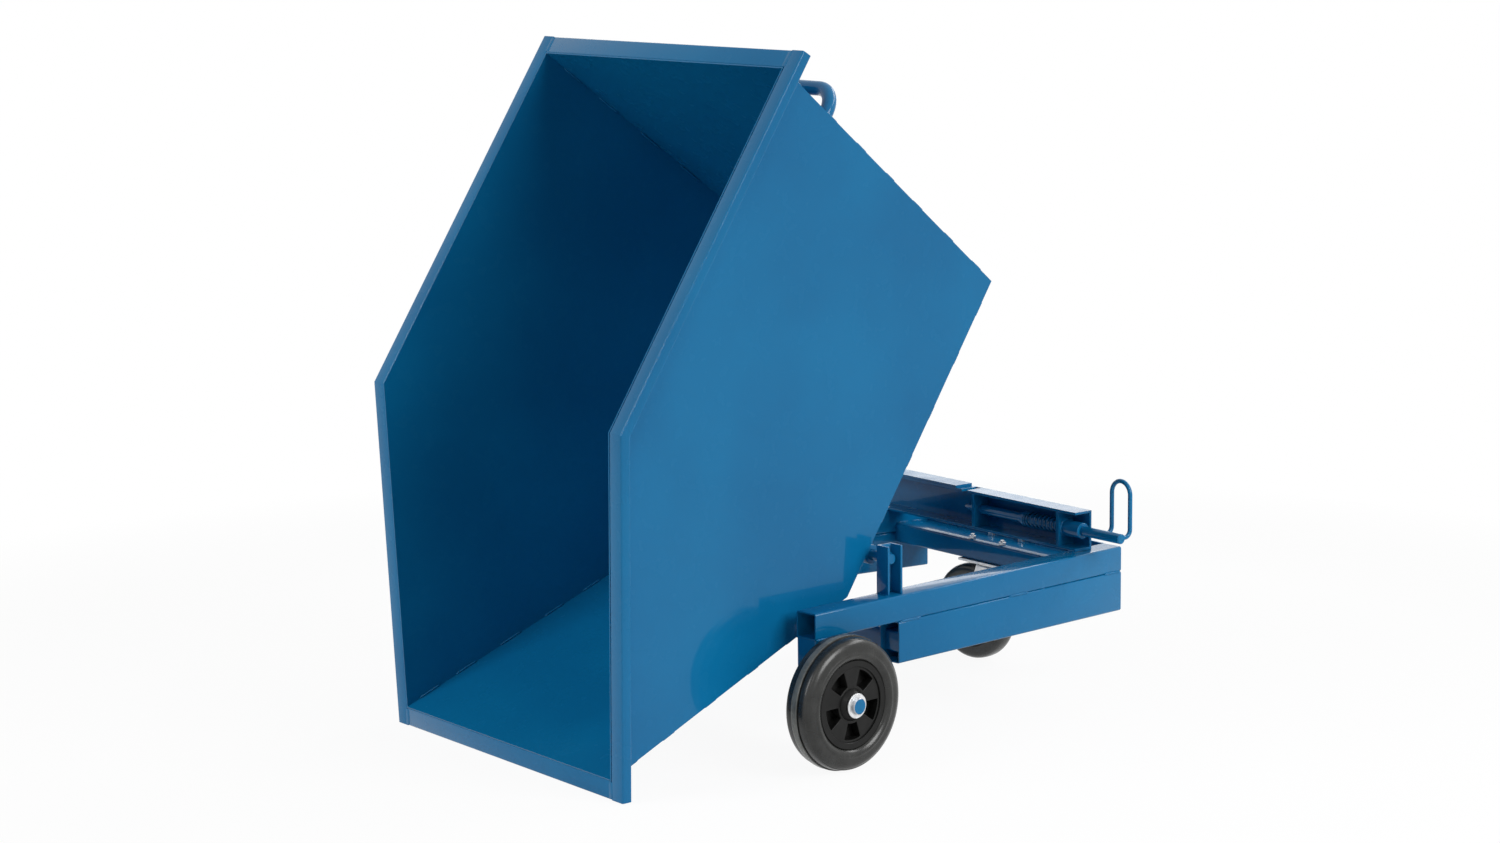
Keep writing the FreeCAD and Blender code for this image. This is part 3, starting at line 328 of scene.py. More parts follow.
def block(length, width, height, edge):
    """Make a block from the origin with softened edges."""
    return profile_bar(((0, 0), (length, 0), (length, width), (0, width)), height, edge)


def both_sides(profile):
    """Carry a profile on over the middle plane as its mirror image."""
    return profile + tuple((radius, -along) for radius, along in reversed(profile))


def turned(profile, steps=64, closed=True):
    """Turn a profile of radius and distance along Z about Z."""
    mesh = bmesh.new()
    points = [mesh.verts.new((radius, 0, along)) for radius, along in profile]
    edges = [mesh.edges.new(pair) for pair in zip(points, points[1:])]
    if closed:
        edges.append(mesh.edges.new((points[-1], points[0])))
    bmesh.ops.spin(mesh, geom=points + edges, cent=(0, 0, 0), axis=(0, 0, 1), angle=FULL_TURN, steps=steps,
                   use_merge=True)
    bmesh.ops.remove_doubles(mesh, verts=mesh.verts[:], dist=SAME_PLACE)
    bmesh.ops.recalc_face_normals(mesh, faces=mesh.faces[:])
    return mesh


def pin(radius, start, end, chamfer, steps=48):
    """Make a round bar along Z with chamfered ends."""
    return turned(((0, start), (radius - chamfer, start), (radius, start + chamfer), (radius, end - chamfer),
                   (radius - chamfer, end), (0, end)), steps, closed=False)


def ring(outer, inner, start, end, chamfer, steps=48):
    """Make a ring along Z with chamfered outer edges."""
    return turned(((inner, start), (outer - chamfer, start), (outer, start + chamfer), (outer, end - chamfer),
                   (outer - chamfer, end), (inner, end)), steps)


def facing(direction):
    """Give the turn that takes Z to a direction."""
    return Vector(direction).to_track_quat("Z", "Y").to_matrix().to_4x4()


def wire(radius, start, heading, moves, segments=20, bend_steps=14):
    """Make a round wire from straight runs and bends; a bend names the side it turns to, its radius and angle."""
    mesh = bmesh.new()
    place = Matrix.Translation(start) @ facing(heading)
    bmesh.ops.create_circle(mesh, cap_ends=False, segments=segments, radius=radius, matrix=place)
    last = mesh.edges[:]
    position, heading = Vector(start), Vector(heading)
    for move in moves:
        if move[0] == "run":
            made = bmesh.ops.extrude_edge_only(mesh, edges=last)["geom"]
            step = heading * move[1]
            bmesh.ops.translate(mesh, verts=picked(made, bmesh.types.BMVert), vec=step)
            position = position + step
        else:
            _, side, bend, angle = move
            middle = position + Vector(side) * bend
            axis = heading.cross(Vector(side))
            geometry = last + list({corner for edge in last for corner in edge.verts})
            made = bmesh.ops.spin(mesh, geom=geometry, cent=middle, axis=axis, angle=angle,
                                  steps=bend_steps)["geom_last"]
            turn = Matrix.Rotation(angle, 3, axis)
            position = middle + turn @ (position - middle)
            heading = turn @ heading
        last = picked(made, bmesh.types.BMEdge)
    bmesh.ops.holes_fill(mesh, edges=[edge for edge in mesh.edges if edge.is_boundary])
    bmesh.ops.recalc_face_normals(mesh, faces=mesh.faces[:])
    return mesh


def bead(start, end, radius, seed, ripple=0.0032):
    """Make a weld bead between two points, with the ripples that a weld pool leaves."""
    draw = random.Random(seed)
    start, end = Vector(start), Vector(end)
    run = (end - start).length
    mesh = bmesh.new()
    bmesh.ops.create_cone(mesh, cap_ends=True, segments=8, radius1=radius, radius2=radius, depth=run,
                          matrix=Matrix.Translation((0, 0, run / 2)))
    long_edges = [edge for edge in mesh.edges if abs(edge.verts[0].co.z - edge.verts[1].co.z) > run / 2]
    bmesh.ops.subdivide_edges(mesh, edges=long_edges, cuts=max(3, int(3 * run / ripple)))
    phase = draw.uniform(0, FULL_TURN)
    mean, rise, drift, tip = 0.9, 0.11, 0.16, 0.08
    for corner in mesh.verts:
        along = corner.co.z
        near_end = min(along, run - along) / (2 * radius)
        swell = mean + rise * math.sin(FULL_TURN * along / ripple + phase)
        swell = swell + drift * noise.noise(Vector((along / (6 * ripple), seed, 0)))
        taper = math.sqrt(max(tip, min(1, near_end)))
        corner.co.x *= swell * taper
        corner.co.y *= swell * taper
    mesh.transform(Matrix.Translation(start) @ facing(end - start))
    return mesh


def bead_ring(middle, axis, across, radius, seed, ripple=0.0036):
    """Make a weld bead round a bar."""
    mesh = bmesh.new()
    bmesh.ops.create_circle(mesh, cap_ends=False, segments=8, radius=radius,
                            matrix=Matrix.Translation((across, 0, 0)) @ Matrix.Rotation(QUARTER, 4, "X"))
    steps = 3 * int(FULL_TURN * across / ripple)
    bmesh.ops.spin(mesh, geom=mesh.verts[:] + mesh.edges[:], cent=(0, 0, 0), axis=(0, 0, 1), angle=FULL_TURN,
                   steps=steps, use_merge=True)
    mean, rise, drift = 0.88, 0.12, 0.2
    for corner in mesh.verts:
        turn = math.atan2(corner.co.y, corner.co.x)
        spine = Vector((across * math.cos(turn), across * math.sin(turn), 0))
        swell = mean + rise * math.sin(turn * steps / 3) + drift * noise.noise(Vector((3 * turn, seed, 1)))
        corner.co = spine + (corner.co - spine) * swell
    bmesh.ops.recalc_face_normals(mesh, faces=mesh.faces[:])
    mesh.transform(Matrix.Translation(middle) @ facing(axis))
    return mesh


def stitches(start, end, count, length, radius, seed):
    """Make evenly spaced weld beads along a seam."""
    start, end = Vector(start), Vector(end)
    run = (end - start).length
    along = (end - start) / run
    pitch = run / count
    stray, shortest, longest = 0.1, 0.42, 0.56
    draw = random.Random(seed)
    beads = []
    for number in range(count):
        middle = start + along * (pitch * (number + 0.5) + draw.uniform(-stray, stray) * pitch)
        reach = along * (length * draw.uniform(shortest, longest))
        beads.append(bead(middle - reach, middle + reach, radius, seed + number))
    return beads


def piece(mesh, name, body, finishes, nodes=(), angle=0.6):
    """Make a mesh a finished piece that rides on a body and stands for CAD nodes."""
    for face in mesh.faces:
        face.smooth = True
    for edge in mesh.edges:
        edge.smooth = edge.is_manifold and edge.calc_face_angle() < angle
    data = bpy.data.meshes.new(name)
    mesh.to_mesh(data)
    mesh.free()
    for finish in finishes:
        data.materials.append(finish)
    item = bpy.data.objects.new(name, data)
    bpy.context.scene.collection.objects.link(item)
    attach(item, body)
    if nodes:
        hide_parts(*nodes)
    return item


def painted(shape, place, name, body, node):
    """Make a shape a piece in blue enamel that stands for a CAD node."""
    return piece(gather([(shape, place)]), name, body, [enamel()], [node])


def dress(node, finish, edge=0.0006):
    """Give a CAD node its finish and softened edges."""
    item = frame["nodes"][node]
    item.data.materials.clear()
    item.data.materials.append(finish)
    joined = item.modifiers.new("Join", "WELD")
    joined.merge_threshold = JOIN_DISTANCE
    rounded = item.modifiers.new("Edges", "BEVEL")
    rounded.limit_method = "ANGLE"
    rounded.angle_limit = CAD_EDGE
    rounded.width = edge
    rounded.segments = 2


# Lines and places
def skip_lines():
    """Work out lines that the skip's pieces share, about its pivot as it stands upright."""
    sizes = settings("skip")
    level = sizes.hinge_drop + sizes.depth
    slant = Vector((sizes.lip_reach - sizes.rim_bend, level - sizes.lip_level))
    wall_top = sizes.rim_rear + sizes.rim_width
    lean = math.atan2(wall_top - sizes.floor_rear, sizes.depth)
    return SimpleNamespace(
        level=level, wall_top=wall_top, lean=lean, taper=(sizes.top_half - sizes.bottom_half) / sizes.depth,
        handle_level=sizes.depth / math.cos(lean) - sizes.handle_drop,
        mouth=(sizes.lip_reach - sizes.rim_width * slant.x / slant.length,
               sizes.lip_level + sizes.rim_width * slant.y / slant.length))


def rail_place(side):
    """Place the front outer corner of one side's rails, at the floor."""
    sizes = settings("chassis")
    corner = Matrix.Translation((sizes.rail_front, side * sizes.rail_half, 0))
    return corner @ Matrix.Rotation(side * sizes.toe, 4, "Z")


def skip_place():
    """Place the skip's pivot, turned from upright to tipped."""
    return Matrix.Translation(joints["skip_tip"]["pos_m"]) @ Matrix.Rotation(settings("skip").tip, 4, "Y")


def back_place():
    """Place the foot of the skip's back wall, leaning with it."""
    sizes = settings("skip")
    at_foot = skip_place() @ Matrix.Translation((sizes.floor_rear, 0, sizes.hinge_drop))
    return at_foot @ Matrix.Rotation(skip_lines().lean, 4, "Y")


def wheel_place(label):
    """Place a front wheel's middle with Z along its axle, outwards on its side."""
    side = SIDES[label]
    turn = Matrix.Rotation(side * settings("chassis").toe, 4, "Z") @ Matrix.Rotation(-side * QUARTER, 4, "X")
    return Matrix.Translation(joints[f"wheel_{label}_spin"]["pos_m"]) @ turn


def across_place(x, z):
    """Place a bar that runs along Y, with its own Z along it."""
    return Matrix.Translation((x, 0, z)) @ facing((0, 1, 0))


# Finishes
def grain(tree_nodes, links, scale, detail=2.0, stretch=None):
    """Add noise on the piece's own coordinates."""
    place = tree_nodes.new("ShaderNodeTexCoord").outputs["Object"]
    if stretch is not None:
        mapping = tree_nodes.new("ShaderNodeMapping")
        mapping.inputs["Scale"].default_value = stretch
        links.new(place, mapping.inputs["Vector"])
        place = mapping.outputs["Vector"]
    texture = tree_nodes.new("ShaderNodeTexNoise")
    texture.inputs["Scale"].default_value = scale
    texture.inputs["Detail"].default_value = detail
    links.new(place, texture.inputs["Vector"])
    return texture.outputs["Fac"]


def mixed(tree_nodes, links, factor, first, second, low=0.35, high=0.65):
    """Mix two colours by a factor between two levels."""
    levels = tree_nodes.new("ShaderNodeMapRange")
    levels.inputs["From Min"].default_value = low
    levels.inputs["From Max"].default_value = high
    links.new(factor, levels.inputs["Value"])
    mix = tree_nodes.new("ShaderNodeMix")
    mix.data_type = "RGBA"
    for socket, colour in (("A", first), ("B", second)):
        target = next(item for item in mix.inputs if item.name == socket and item.type == "RGBA")
        if isinstance(colour, bpy.types.NodeSocket):
            links.new(colour, target)
        else:
            target.default_value = (*colour, 1)
    links.new(levels.outputs["Result"], mix.inputs["Factor"])
    return next(item for item in mix.outputs if item.type == "RGBA")


def ranged(tree_nodes, links, factor, low, high):
    """Stretch a factor to a range of values."""
    levels = tree_nodes.new("ShaderNodeMapRange")
    levels.inputs["From Min"].default_value = 0.3
    levels.inputs["From Max"].default_value = 0.7
    levels.inputs["To Min"].default_value = low
    levels.inputs["To Max"].default_value = high
    links.new(factor, levels.inputs["Value"])
    return levels.outputs["Result"]


def bumped(tree_nodes, links, shader, heights):
    """Chain bumps, each a height with its strength and distance, into the shader's normal."""
    normal = None
    for height, strength, distance in heights:
        bump = tree_nodes.new("ShaderNodeBump")
        bump.inputs["Strength"].default_value = strength
        bump.inputs["Distance"].default_value = distance
        links.new(height, bump.inputs["Height"])
        if normal is not None:
            links.new(normal, bump.inputs["Normal"])
        normal = bump.outputs["Normal"]
    links.new(normal, shader.inputs["Normal"])


def finish(name, colours, patches, gloss, gloss_patches, bumps, levels, scuffs=None):
    """Give a finish of two colours, a range of gloss, bumps and plain levels, made when it is first asked for.

    Patches are a noise's scale and detail. A bump is a noise's scale and detail, its strength and its distance.
    """
    if name in bpy.data.materials:
        return bpy.data.materials[name]
    material = bpy.data.materials.new(name)
    material.use_nodes = True
    tree_nodes, links = material.node_tree.nodes, material.node_tree.links
    shader = tree_nodes["Principled BSDF"]
    colour = mixed(tree_nodes, links, grain(tree_nodes, links, *patches), *colours)
    if scuffs:
        marks = grain(tree_nodes, links, 60, 6, stretch=(1, 0.12, 1))
        colour = mixed(tree_nodes, links, marks, colour, scuffs, low=0.62, high=0.8)
    links.new(colour, shader.inputs["Base Color"])
    links.new(ranged(tree_nodes, links, grain(tree_nodes, links, *gloss_patches), *gloss), shader.inputs["Roughness"])
    bumped(tree_nodes, links, shader, [(grain(tree_nodes, links, scale, detail), strength, distance)
                                       for scale, detail, strength, distance in bumps])
    for socket, level in levels.items():
        shader.inputs[socket].default_value = level
    return material


def enamel_finish(name, gloss, scuffs=None):
    """Give glossy blue enamel with orange peel and soft waves, and rub marks where it is worn."""
    colours = settings("finishes")
    return finish(name, (colours.enamel[:], colours.enamel_deep[:]), (3.5,), gloss, (28,),
                  ((7, 1, 0.06, 0.002), (300, 1, 0.012, 0.0005)),
                  {"Specular IOR Level": 0.05, "Coat Weight": 0.36, "Coat Roughness": 0.05}, scuffs)


def rubber_finish(name, colour):
    """Give matt rubber with a fine moulded grain and a breath of dust."""
    dusty = tuple(level * 1.6 + 0.004 for level in colour)
    return finish(name, (colour, dusty), (40, 5), (0.2, 0.32), (22, 3), ((700, 2, 0.05, 0.0004),),
                  {"Specular IOR Level": 0.4})


def plastic_finish():
    """Give black moulded plastic with a fine texture."""
    colour = settings("finishes").plastic[:]
    greyed = tuple(level + 0.003 for level in colour)
    return finish("moulded_black", (colour, greyed), (50, 4), (0.3, 0.44), (30,), ((900, 1, 0.05, 0.0003),),
                  {"Specular IOR Level": 0.2})


def metal_finish(name, colour, gloss):
    """Give bare or plated metal with a mottled gloss."""
    dull = tuple(level * 0.78 for level in colour)
    return finish(name, (colour, dull), (130, 4), gloss, (90, 3), ((700, 2, 0.08, 0.0003),), {"Metallic": 1.0})


def enamel():
    """Give the plain blue enamel."""
    return enamel_finish("blue_enamel", (0.2, 0.3))


def rubbed_enamel():
    """Give the enamel with rub marks."""
    return enamel_finish("rubbed_enamel", (0.26, 0.42), scuffs=settings("finishes").enamel_rubbed[:])


def zinc():
    """Give the zinc plating."""
    return metal_finish("zinc_plating", settings("finishes").zinc[:], (0.24, 0.42))


def steel():
    """Give the plain steel."""
    return metal_finish("plain_steel", settings("finishes").steel[:], (0.22, 0.36))


# Operators
class TROLLEY_OT_rails(bpy.types.Operator):
    """Make the upper and lower rails and the wheel posts"""
    bl_idname = "trolley.rails"
    bl_label = "Rails and wheel posts"
    bl_options = {"REGISTER", "UNDO"}

    def execute(self, context):
        sizes = settings("chassis")
        slant = math.cos(sizes.toe)
        rail_length = (sizes.half_length + sizes.rail_front) / slant
        lower_length = (sizes.half_length + sizes.lower_front) / slant
        seam = sizes.ground_gap + sizes.lower_height
        section = (sizes.rail_wall, sizes.rail_corner)
        for label, side in SIDES.items():
            place = rail_place(side)
            low_y = -sizes.rail_width if side > 0 else 0
            upper = tube(rail_length, sizes.rail_width, sizes.upper_height, *section)
            at_upper = place @ Matrix.Translation((-rail_length, low_y, seam))
            painted(upper, at_upper, f"upper_tube_{label}", "chassis", f"side_rail_{label}")
            lower = tube(lower_length, sizes.rail_width, sizes.lower_height, *section)
            at_lower = place @ Matrix.Translation((-rail_length, low_y, sizes.ground_gap))
            painted(lower, at_lower, f"lower_tube_{label}", "chassis", f"lower_rail_{label}")
            post = tube(seam - sizes.post_foot, sizes.rail_width, sizes.rail_width, *section)
            at_post = place @ Matrix.Translation((0, low_y, sizes.post_foot)) @ Matrix.Rotation(-QUARTER, 4, "Y")
            painted(post, at_post, f"wheel_post_tube_{label}", "chassis", f"wheel_post_{label}")
        return {"FINISHED"}


class TROLLEY_OT_cross_members(bpy.types.Operator):
    """Make the cross tube, the caster rail and the rear plate between the rails"""
    bl_idname = "trolley.cross_members"
    bl_label = "Cross members"
    bl_options = {"REGISTER", "UNDO"}

    def trim(self, mesh, inset):
        """Cut both ends along the rails and close them."""
        for side in SIDES.values():
            place = rail_place(side)
            edge_point = place @ Vector((0, -side * inset, 0))
            outward = place.to_3x3() @ Vector((0, side, 0))
            bmesh.ops.bisect_plane(mesh, geom=whole(mesh), plane_co=edge_point, plane_no=outward, clear_outer=True)
            rim = [edge for edge in mesh.edges if edge.is_boundary]
            bmesh.ops.triangle_fill(mesh, edges=rim, use_beauty=True, use_dissolve=True)
        bmesh.ops.recalc_face_normals(mesh, faces=mesh.faces[:])
        return mesh

    def execute(self, context):
        sizes = settings("chassis")
        length = 2 * sizes.rail_half
        section = (sizes.rail_wall, sizes.rail_corner)
        across = Matrix.Rotation(QUARTER, 4, "Z")
        cross = tube(length, sizes.cross_size, sizes.cross_size, *section)
        cross.transform(Matrix.Translation((sizes.lower_front - sizes.cross_setback, -sizes.rail_half,
                                            sizes.ground_gap + sizes.cross_lift)) @ across)
        painted(self.trim(cross, sizes.rail_wall + GAP), STILL, "cross_tube", "chassis", "front_cross_tube")
        pivot = joints["caster_swivel"]["pos_m"]
        rail = tube(length, sizes.caster_rail_depth, sizes.caster_rail_height, *section)
        rail.transform(Matrix.Translation((pivot[0] + sizes.caster_rail_depth / 2, -sizes.rail_half, pivot[2]))
                       @ across)
        painted(self.trim(rail, sizes.rail_width + GAP), STILL, "caster_cross_rail", "chassis", "caster_rail")
        plate = block(sizes.rear_plate, length, sizes.rear_plate_height, edge=0.0008)
        plate.transform(Matrix.Translation((GAP - sizes.half_length, -sizes.rail_half, pivot[2])))
        painted(self.trim(plate, sizes.rail_width + GAP), STILL, "rear_cross_plate", "chassis", "rear_plate")
        return {"FINISHED"}


class TROLLEY_OT_pivot(bpy.types.Operator):
    """Make the channel posts, the pivot shaft and its collars"""
    bl_idname = "trolley.pivot"
    bl_label = "Pivot"
    bl_options = {"REGISTER", "UNDO"}

    def execute(self, context):
        sizes = settings("chassis")
        pivot = Vector(joints["skip_tip"]["pos_m"])
        rail_top = sizes.ground_gap + sizes.lower_height + sizes.upper_height
        half, wall, width = sizes.post_depth / 2, sizes.post_wall, sizes.post_width
        section = ((-half, 0), (half, 0), (half, width), (half - wall, width), (half - wall, wall),
                   (wall - half, wall), (wall - half, width), (-half, width))
        for label, side in SIDES.items():
            post = profile_bar(section, sizes.post_height, edge=0.0011)
            turn = STILL if side > 0 else Matrix.Rotation(math.pi, 4, "Z")
            at_post = Matrix.Translation((pivot.x, side * sizes.post_half, rail_top)) @ turn
            painted(post, at_post, f"pivot_channel_{label}", "chassis", f"pivot_post_{label}")
        at_shaft = across_place(pivot.x, pivot.z)
        shaft = pin(sizes.shaft_radius, -sizes.shaft_half, sizes.shaft_half, chamfer=0.0012)
        painted(shaft, at_shaft, "pivot_bar", "chassis", "pivot_shaft")
        collars = []
        for side in SIDES.values():
            start = side * (sizes.post_half + wall + RUNNING_GAP)
            ends = sorted((start, start + side * sizes.collar_length))
            collars.append((ring(half - wall - RUNNING_GAP, sizes.shaft_radius, *ends, chamfer=0.0008), at_shaft))
        piece(gather(collars), "shaft_stop_rings", "chassis", [enamel()], ["shaft_collars"])
        return {"FINISHED"}


class TROLLEY_OT_axles(bpy.types.Operator):
    """Make the stub axles with their washers and dress the spacers"""
    bl_idname = "trolley.axles"
    bl_label = "Axles"
    bl_options = {"REGISTER", "UNDO"}

    def execute(self, context):
        sizes = settings("wheels")
        washers = []
        for label in SIDES:
            place = wheel_place(label)
            axle = pin(sizes.axle_radius, -sizes.axle_inner, sizes.axle_outer, chamfer=0.0012, steps=64)
            for face in axle.faces:
                face.material_index = 0 if abs(face.normal.z) > 0.9 else 1
            piece(gather([(axle, place)]), f"axle_bar_{label}", "chassis", [enamel(), steel()],
                  [f"stub_axle_{label}"])
            start = sizes.hub_half + RUNNING_GAP
            washers.append((ring(sizes.washer_radius, sizes.axle_radius + GAP, start,
                                 start + sizes.washer_thickness, chamfer=0.0007, steps=64), place))
        washer_finish = metal_finish("washer_zinc", settings("finishes").washer[:], (0.38, 0.55))
        piece(gather(washers), "axle_thrust_washers", "chassis", [washer_finish], ["axle_washers"])
        dress("axle_spacers", steel())
        return {"FINISHED"}


class TROLLEY_OT_wheels(bpy.types.Operator):
    """Make the tyres with their tread and the rims with their pockets"""
    bl_idname = "trolley.wheels"
    bl_label = "Wheels"
    bl_options = {"REGISTER", "UNDO"}

    def tyre(self):
        """Make a tyre with a tread band, shoulder ribs and a ring on each wall."""
        sizes = settings("wheels")
        seat, radius = sizes.seat + GAP, sizes.radius
        # Radius and distance from the wheel's middle plane, from the seat out to the tread
        wall = ((seat, 0.0245), (seat + 0.0015, 0.0272), (seat + 0.004, 0.03), (seat + 0.0065, 0.0312),
                (seat + 0.0085, 0.0322), (seat + 0.011, 0.0329), (seat + 0.0135, 0.0328), (seat + 0.0155, 0.0318),
                (seat + 0.0175, 0.0314), (radius - 0.019, 0.0311), (radius - 0.0145, 0.0301),
                (radius - 0.0105, 0.0282), (radius - 0.0075, 0.0256), (radius - 0.0062, 0.024),
                (radius - 0.005, 0.0238), (radius - 0.0042, 0.0222), (radius - 0.0033, 0.0195),
                (radius - 0.0028, 0.014), (radius - 0.0026, 0.0095), (radius - 0.0044, 0.009),
                (radius - 0.0044, 0.0078), (radius - 0.0004, 0.007), (radius, 0.0062), (radius, 0.002))
        mesh = turned(both_sides(wall), steps=128)
        for face in mesh.faces:
            middle = face.calc_center_median()
            if math.hypot(middle.x, middle.y) > radius - 0.0009:
                face.material_index = 1
        return mesh

    def spoked_plate(self, sizes, side):
        """Make the half of a rim's disc that lies outside the pockets' floor, with a gap for each pocket."""
        band, hub = sizes.rim_inner, sizes.hub_radius
        plate = bmesh.new()
        radii = (hub - 0.002, hub + 0.005, hub + 0.016, hub + 0.026, band - 0.0045, band + 0.002)
        spokes = [plate.verts.new((radius, 0, 0)) for radius in radii]
        edges = [plate.edges.new(pair) for pair in zip(spokes, spokes[1:])]
        steps = 20 * sizes.pocket_count
        bmesh.ops.spin(plate, geom=spokes + edges, cent=(0, 0, 0), axis=(0, 0, 1), angle=FULL_TURN, steps=steps,
                       use_merge=True)
        pitch = FULL_TURN / sizes.pocket_count
        pockets = []
        for face in plate.faces:
            middle = face.calc_center_median()
            share = (math.atan2(middle.y, middle.x) % pitch) / pitch
            if radii[1] < math.hypot(middle.x, middle.y) < radii[4] and 0.25 < share < 0.75:
                pockets.append(face)
        bmesh.ops.delete(plate, geom=pockets, context="FACES")
        foot = sizes.pocket_floor / 2 - 0.001
        lift(plate, plate.faces[:], (0, 0, sizes.web_half - foot))
        soften(plate, sharp_edges(plate, 1.2), 0.0011, 3)
        plate.transform(Matrix.Translation((0, 0, foot)) @ Matrix.Rotation(-side * pitch / 4, 4, "Z"))
        return plate

    def rim(self, side):
        """Make a rim: a thick disc with pockets in both faces, an outer band and a hub that stands proud."""
        sizes = settings("wheels")
        band, hub, half, web = sizes.rim_inner, sizes.hub_radius, sizes.hub_half, sizes.web_half
        floor_half = sizes.pocket_floor / 2
        floor = turned(((hub - 0.002, -floor_half), (band + 0.002, -floor_half), (band + 0.002, floor_half),
                        (hub - 0.002, floor_half)), steps=96)
        band_half, chamfer = sizes.band_half, 0.0008
        shell = turned(both_sides((
            (band, chamfer - band_half), (band + chamfer, -band_half), (sizes.seat - chamfer, -band_half),
            (sizes.seat, chamfer - band_half))), steps=96)
        barrel = turned(both_sides((
            (sizes.bore, -half), (hub - 0.006, -half), (hub - 0.005, 0.001 - half), (hub - 0.001, -web - 0.002),
            (hub + 0.001, 0.001 - web))), steps=64)
        mirrored = Matrix.Diagonal((1, 1, -1, 1))
        return gather([(self.spoked_plate(sizes, side), STILL), (self.spoked_plate(sizes, side), mirrored),
                       (floor, STILL), (shell, STILL), (barrel, STILL)])

    def execute(self, context):
        colours = settings("finishes")
        rubbers = [rubber_finish("tyre_rubber", colours.rubber[:]), rubber_finish("tread_rubber", colours.tread[:])]
        for label, side in SIDES.items():
            place = wheel_place(label)
            body = f"wheel_{label}"
            piece(gather([(self.tyre(), place)]), f"ribbed_tyre_{label}", body, rubbers,
                  [f"tyre_{label}"])
            piece(gather([(self.rim(side), place)]), f"moulded_rim_{label}", body, [plastic_finish()],
                  [f"wheel_rim_{label}"])
            dress(f"wheel_bearing_{label}", steel(), edge=0.0003)
        return {"FINISHED"}


class TROLLEY_OT_latch_channel(bpy.types.Operator):
    """Dress the latch channel with its strip and plates and make the bushing"""
    bl_idname = "trolley.latch_channel"
    bl_label = "Latch channel"
    bl_options = {"REGISTER", "UNDO"}

    def execute(self, context):
        sizes = settings("latch")
        dress("latch_channel", enamel(), edge=0.001)
        dress("wear_strip", rubbed_enamel(), edge=0.0008)
        dress("latch_partition", enamel())
        dress("latch_end_plate", enamel())
        bushing = ring(sizes.bushing_radius, sizes.pin_radius + GAP, sizes.bushing_start, sizes.bushing_end,
                       chamfer=0.0012)
        painted(bushing, across_place(sizes.axis_x, sizes.level), "pin_bushing", "chassis", "latch_bushing")
        return {"FINISHED"}


class TROLLEY_OT_latch(bpy.types.Operator):
    """Make the latch pin, its collar, the pull loop and the spring"""
    bl_idname = "trolley.latch"
    bl_label = "Latch"
    bl_options = {"REGISTER", "UNDO"}

    def spring(self, sizes):
        """Wind the spring with a closed turn at each end."""
        mesh = bmesh.new()
        wire_radius = sizes.spring_wire
        start = sizes.collar_end + GAP + wire_radius
        end = sizes.spring_end - GAP - wire_radius
        closed = 2.1 * wire_radius
        open_pitch = (end - start - 2 * closed) / sizes.spring_turns
        bmesh.ops.create_circle(mesh, cap_ends=False, segments=10, radius=wire_radius,
                                matrix=Matrix.Translation((sizes.spring_radius, 0, start))
                                @ Matrix.Rotation(QUARTER, 4, "X"))
        last = mesh.verts[:] + mesh.edges[:]
        turn_steps = 32
        for pitch, turns in ((closed, 1), (open_pitch, sizes.spring_turns), (closed, 1)):
            made = bmesh.ops.spin(mesh, geom=last, cent=(0, 0, 0), axis=(0, 0, 1), angle=FULL_TURN * turns,
                                  steps=turn_steps * turns, dvec=(0, 0, pitch / turn_steps))
            last = made["geom_last"]
        bmesh.ops.holes_fill(mesh, edges=[edge for edge in mesh.edges if edge.is_boundary])
        bmesh.ops.recalc_face_normals(mesh, faces=mesh.faces[:])
        return mesh

    def execute(self, context):
        sizes = settings("latch")
        place = across_place(sizes.axis_x, sizes.level)
        radius = sizes.pin_radius
        bar = turned(((0, sizes.pin_tip), (0.0042, sizes.pin_tip), (0.005, sizes.pin_tip + 0.001),
                      (radius, sizes.pin_tip + sizes.pin_nose), (radius, sizes.pin_end - 0.0015),
                      (radius - 0.0015, sizes.pin_end), (0, sizes.pin_end)), steps=48, closed=False)
        painted(bar, place, "latch_bar", "latch", "latch_pin")
        collar = ring(sizes.collar_radius, radius, sizes.collar_start, sizes.collar_end, chamfer=0.0009)
        painted(collar, place, "latch_stop_ring", "latch", "latch_collar")
        weld_depth = 0.002
        foot = Vector((sizes.axis_x - radius + weld_depth, sizes.loop_inner, sizes.level))
        foot_run = sizes.loop_setback - radius + weld_depth - sizes.loop_bend
        half = (sizes.loop_outer - sizes.loop_inner) / 2
        leg = sizes.loop_rise - half - sizes.loop_bend
        loop = wire(sizes.loop_wire, foot, (-1, 0, 0), (
            ("run", foot_run), ("bend", (0, 0, 1), sizes.loop_bend, QUARTER), ("run", leg),
            ("bend", (0, 1, 0), half, math.pi), ("run", leg), ("bend", (1, 0, 0), sizes.loop_bend, QUARTER),
            ("run", foot_run)), segments=18, bend_steps=20)
        painted(loop, STILL, "pull_loop", "latch", "latch_loop")
        coil = painted(self.spring(sizes), place, "coil_spring", "chassis", "latch_spring")
        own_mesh(coil)
        return {"FINISHED"}


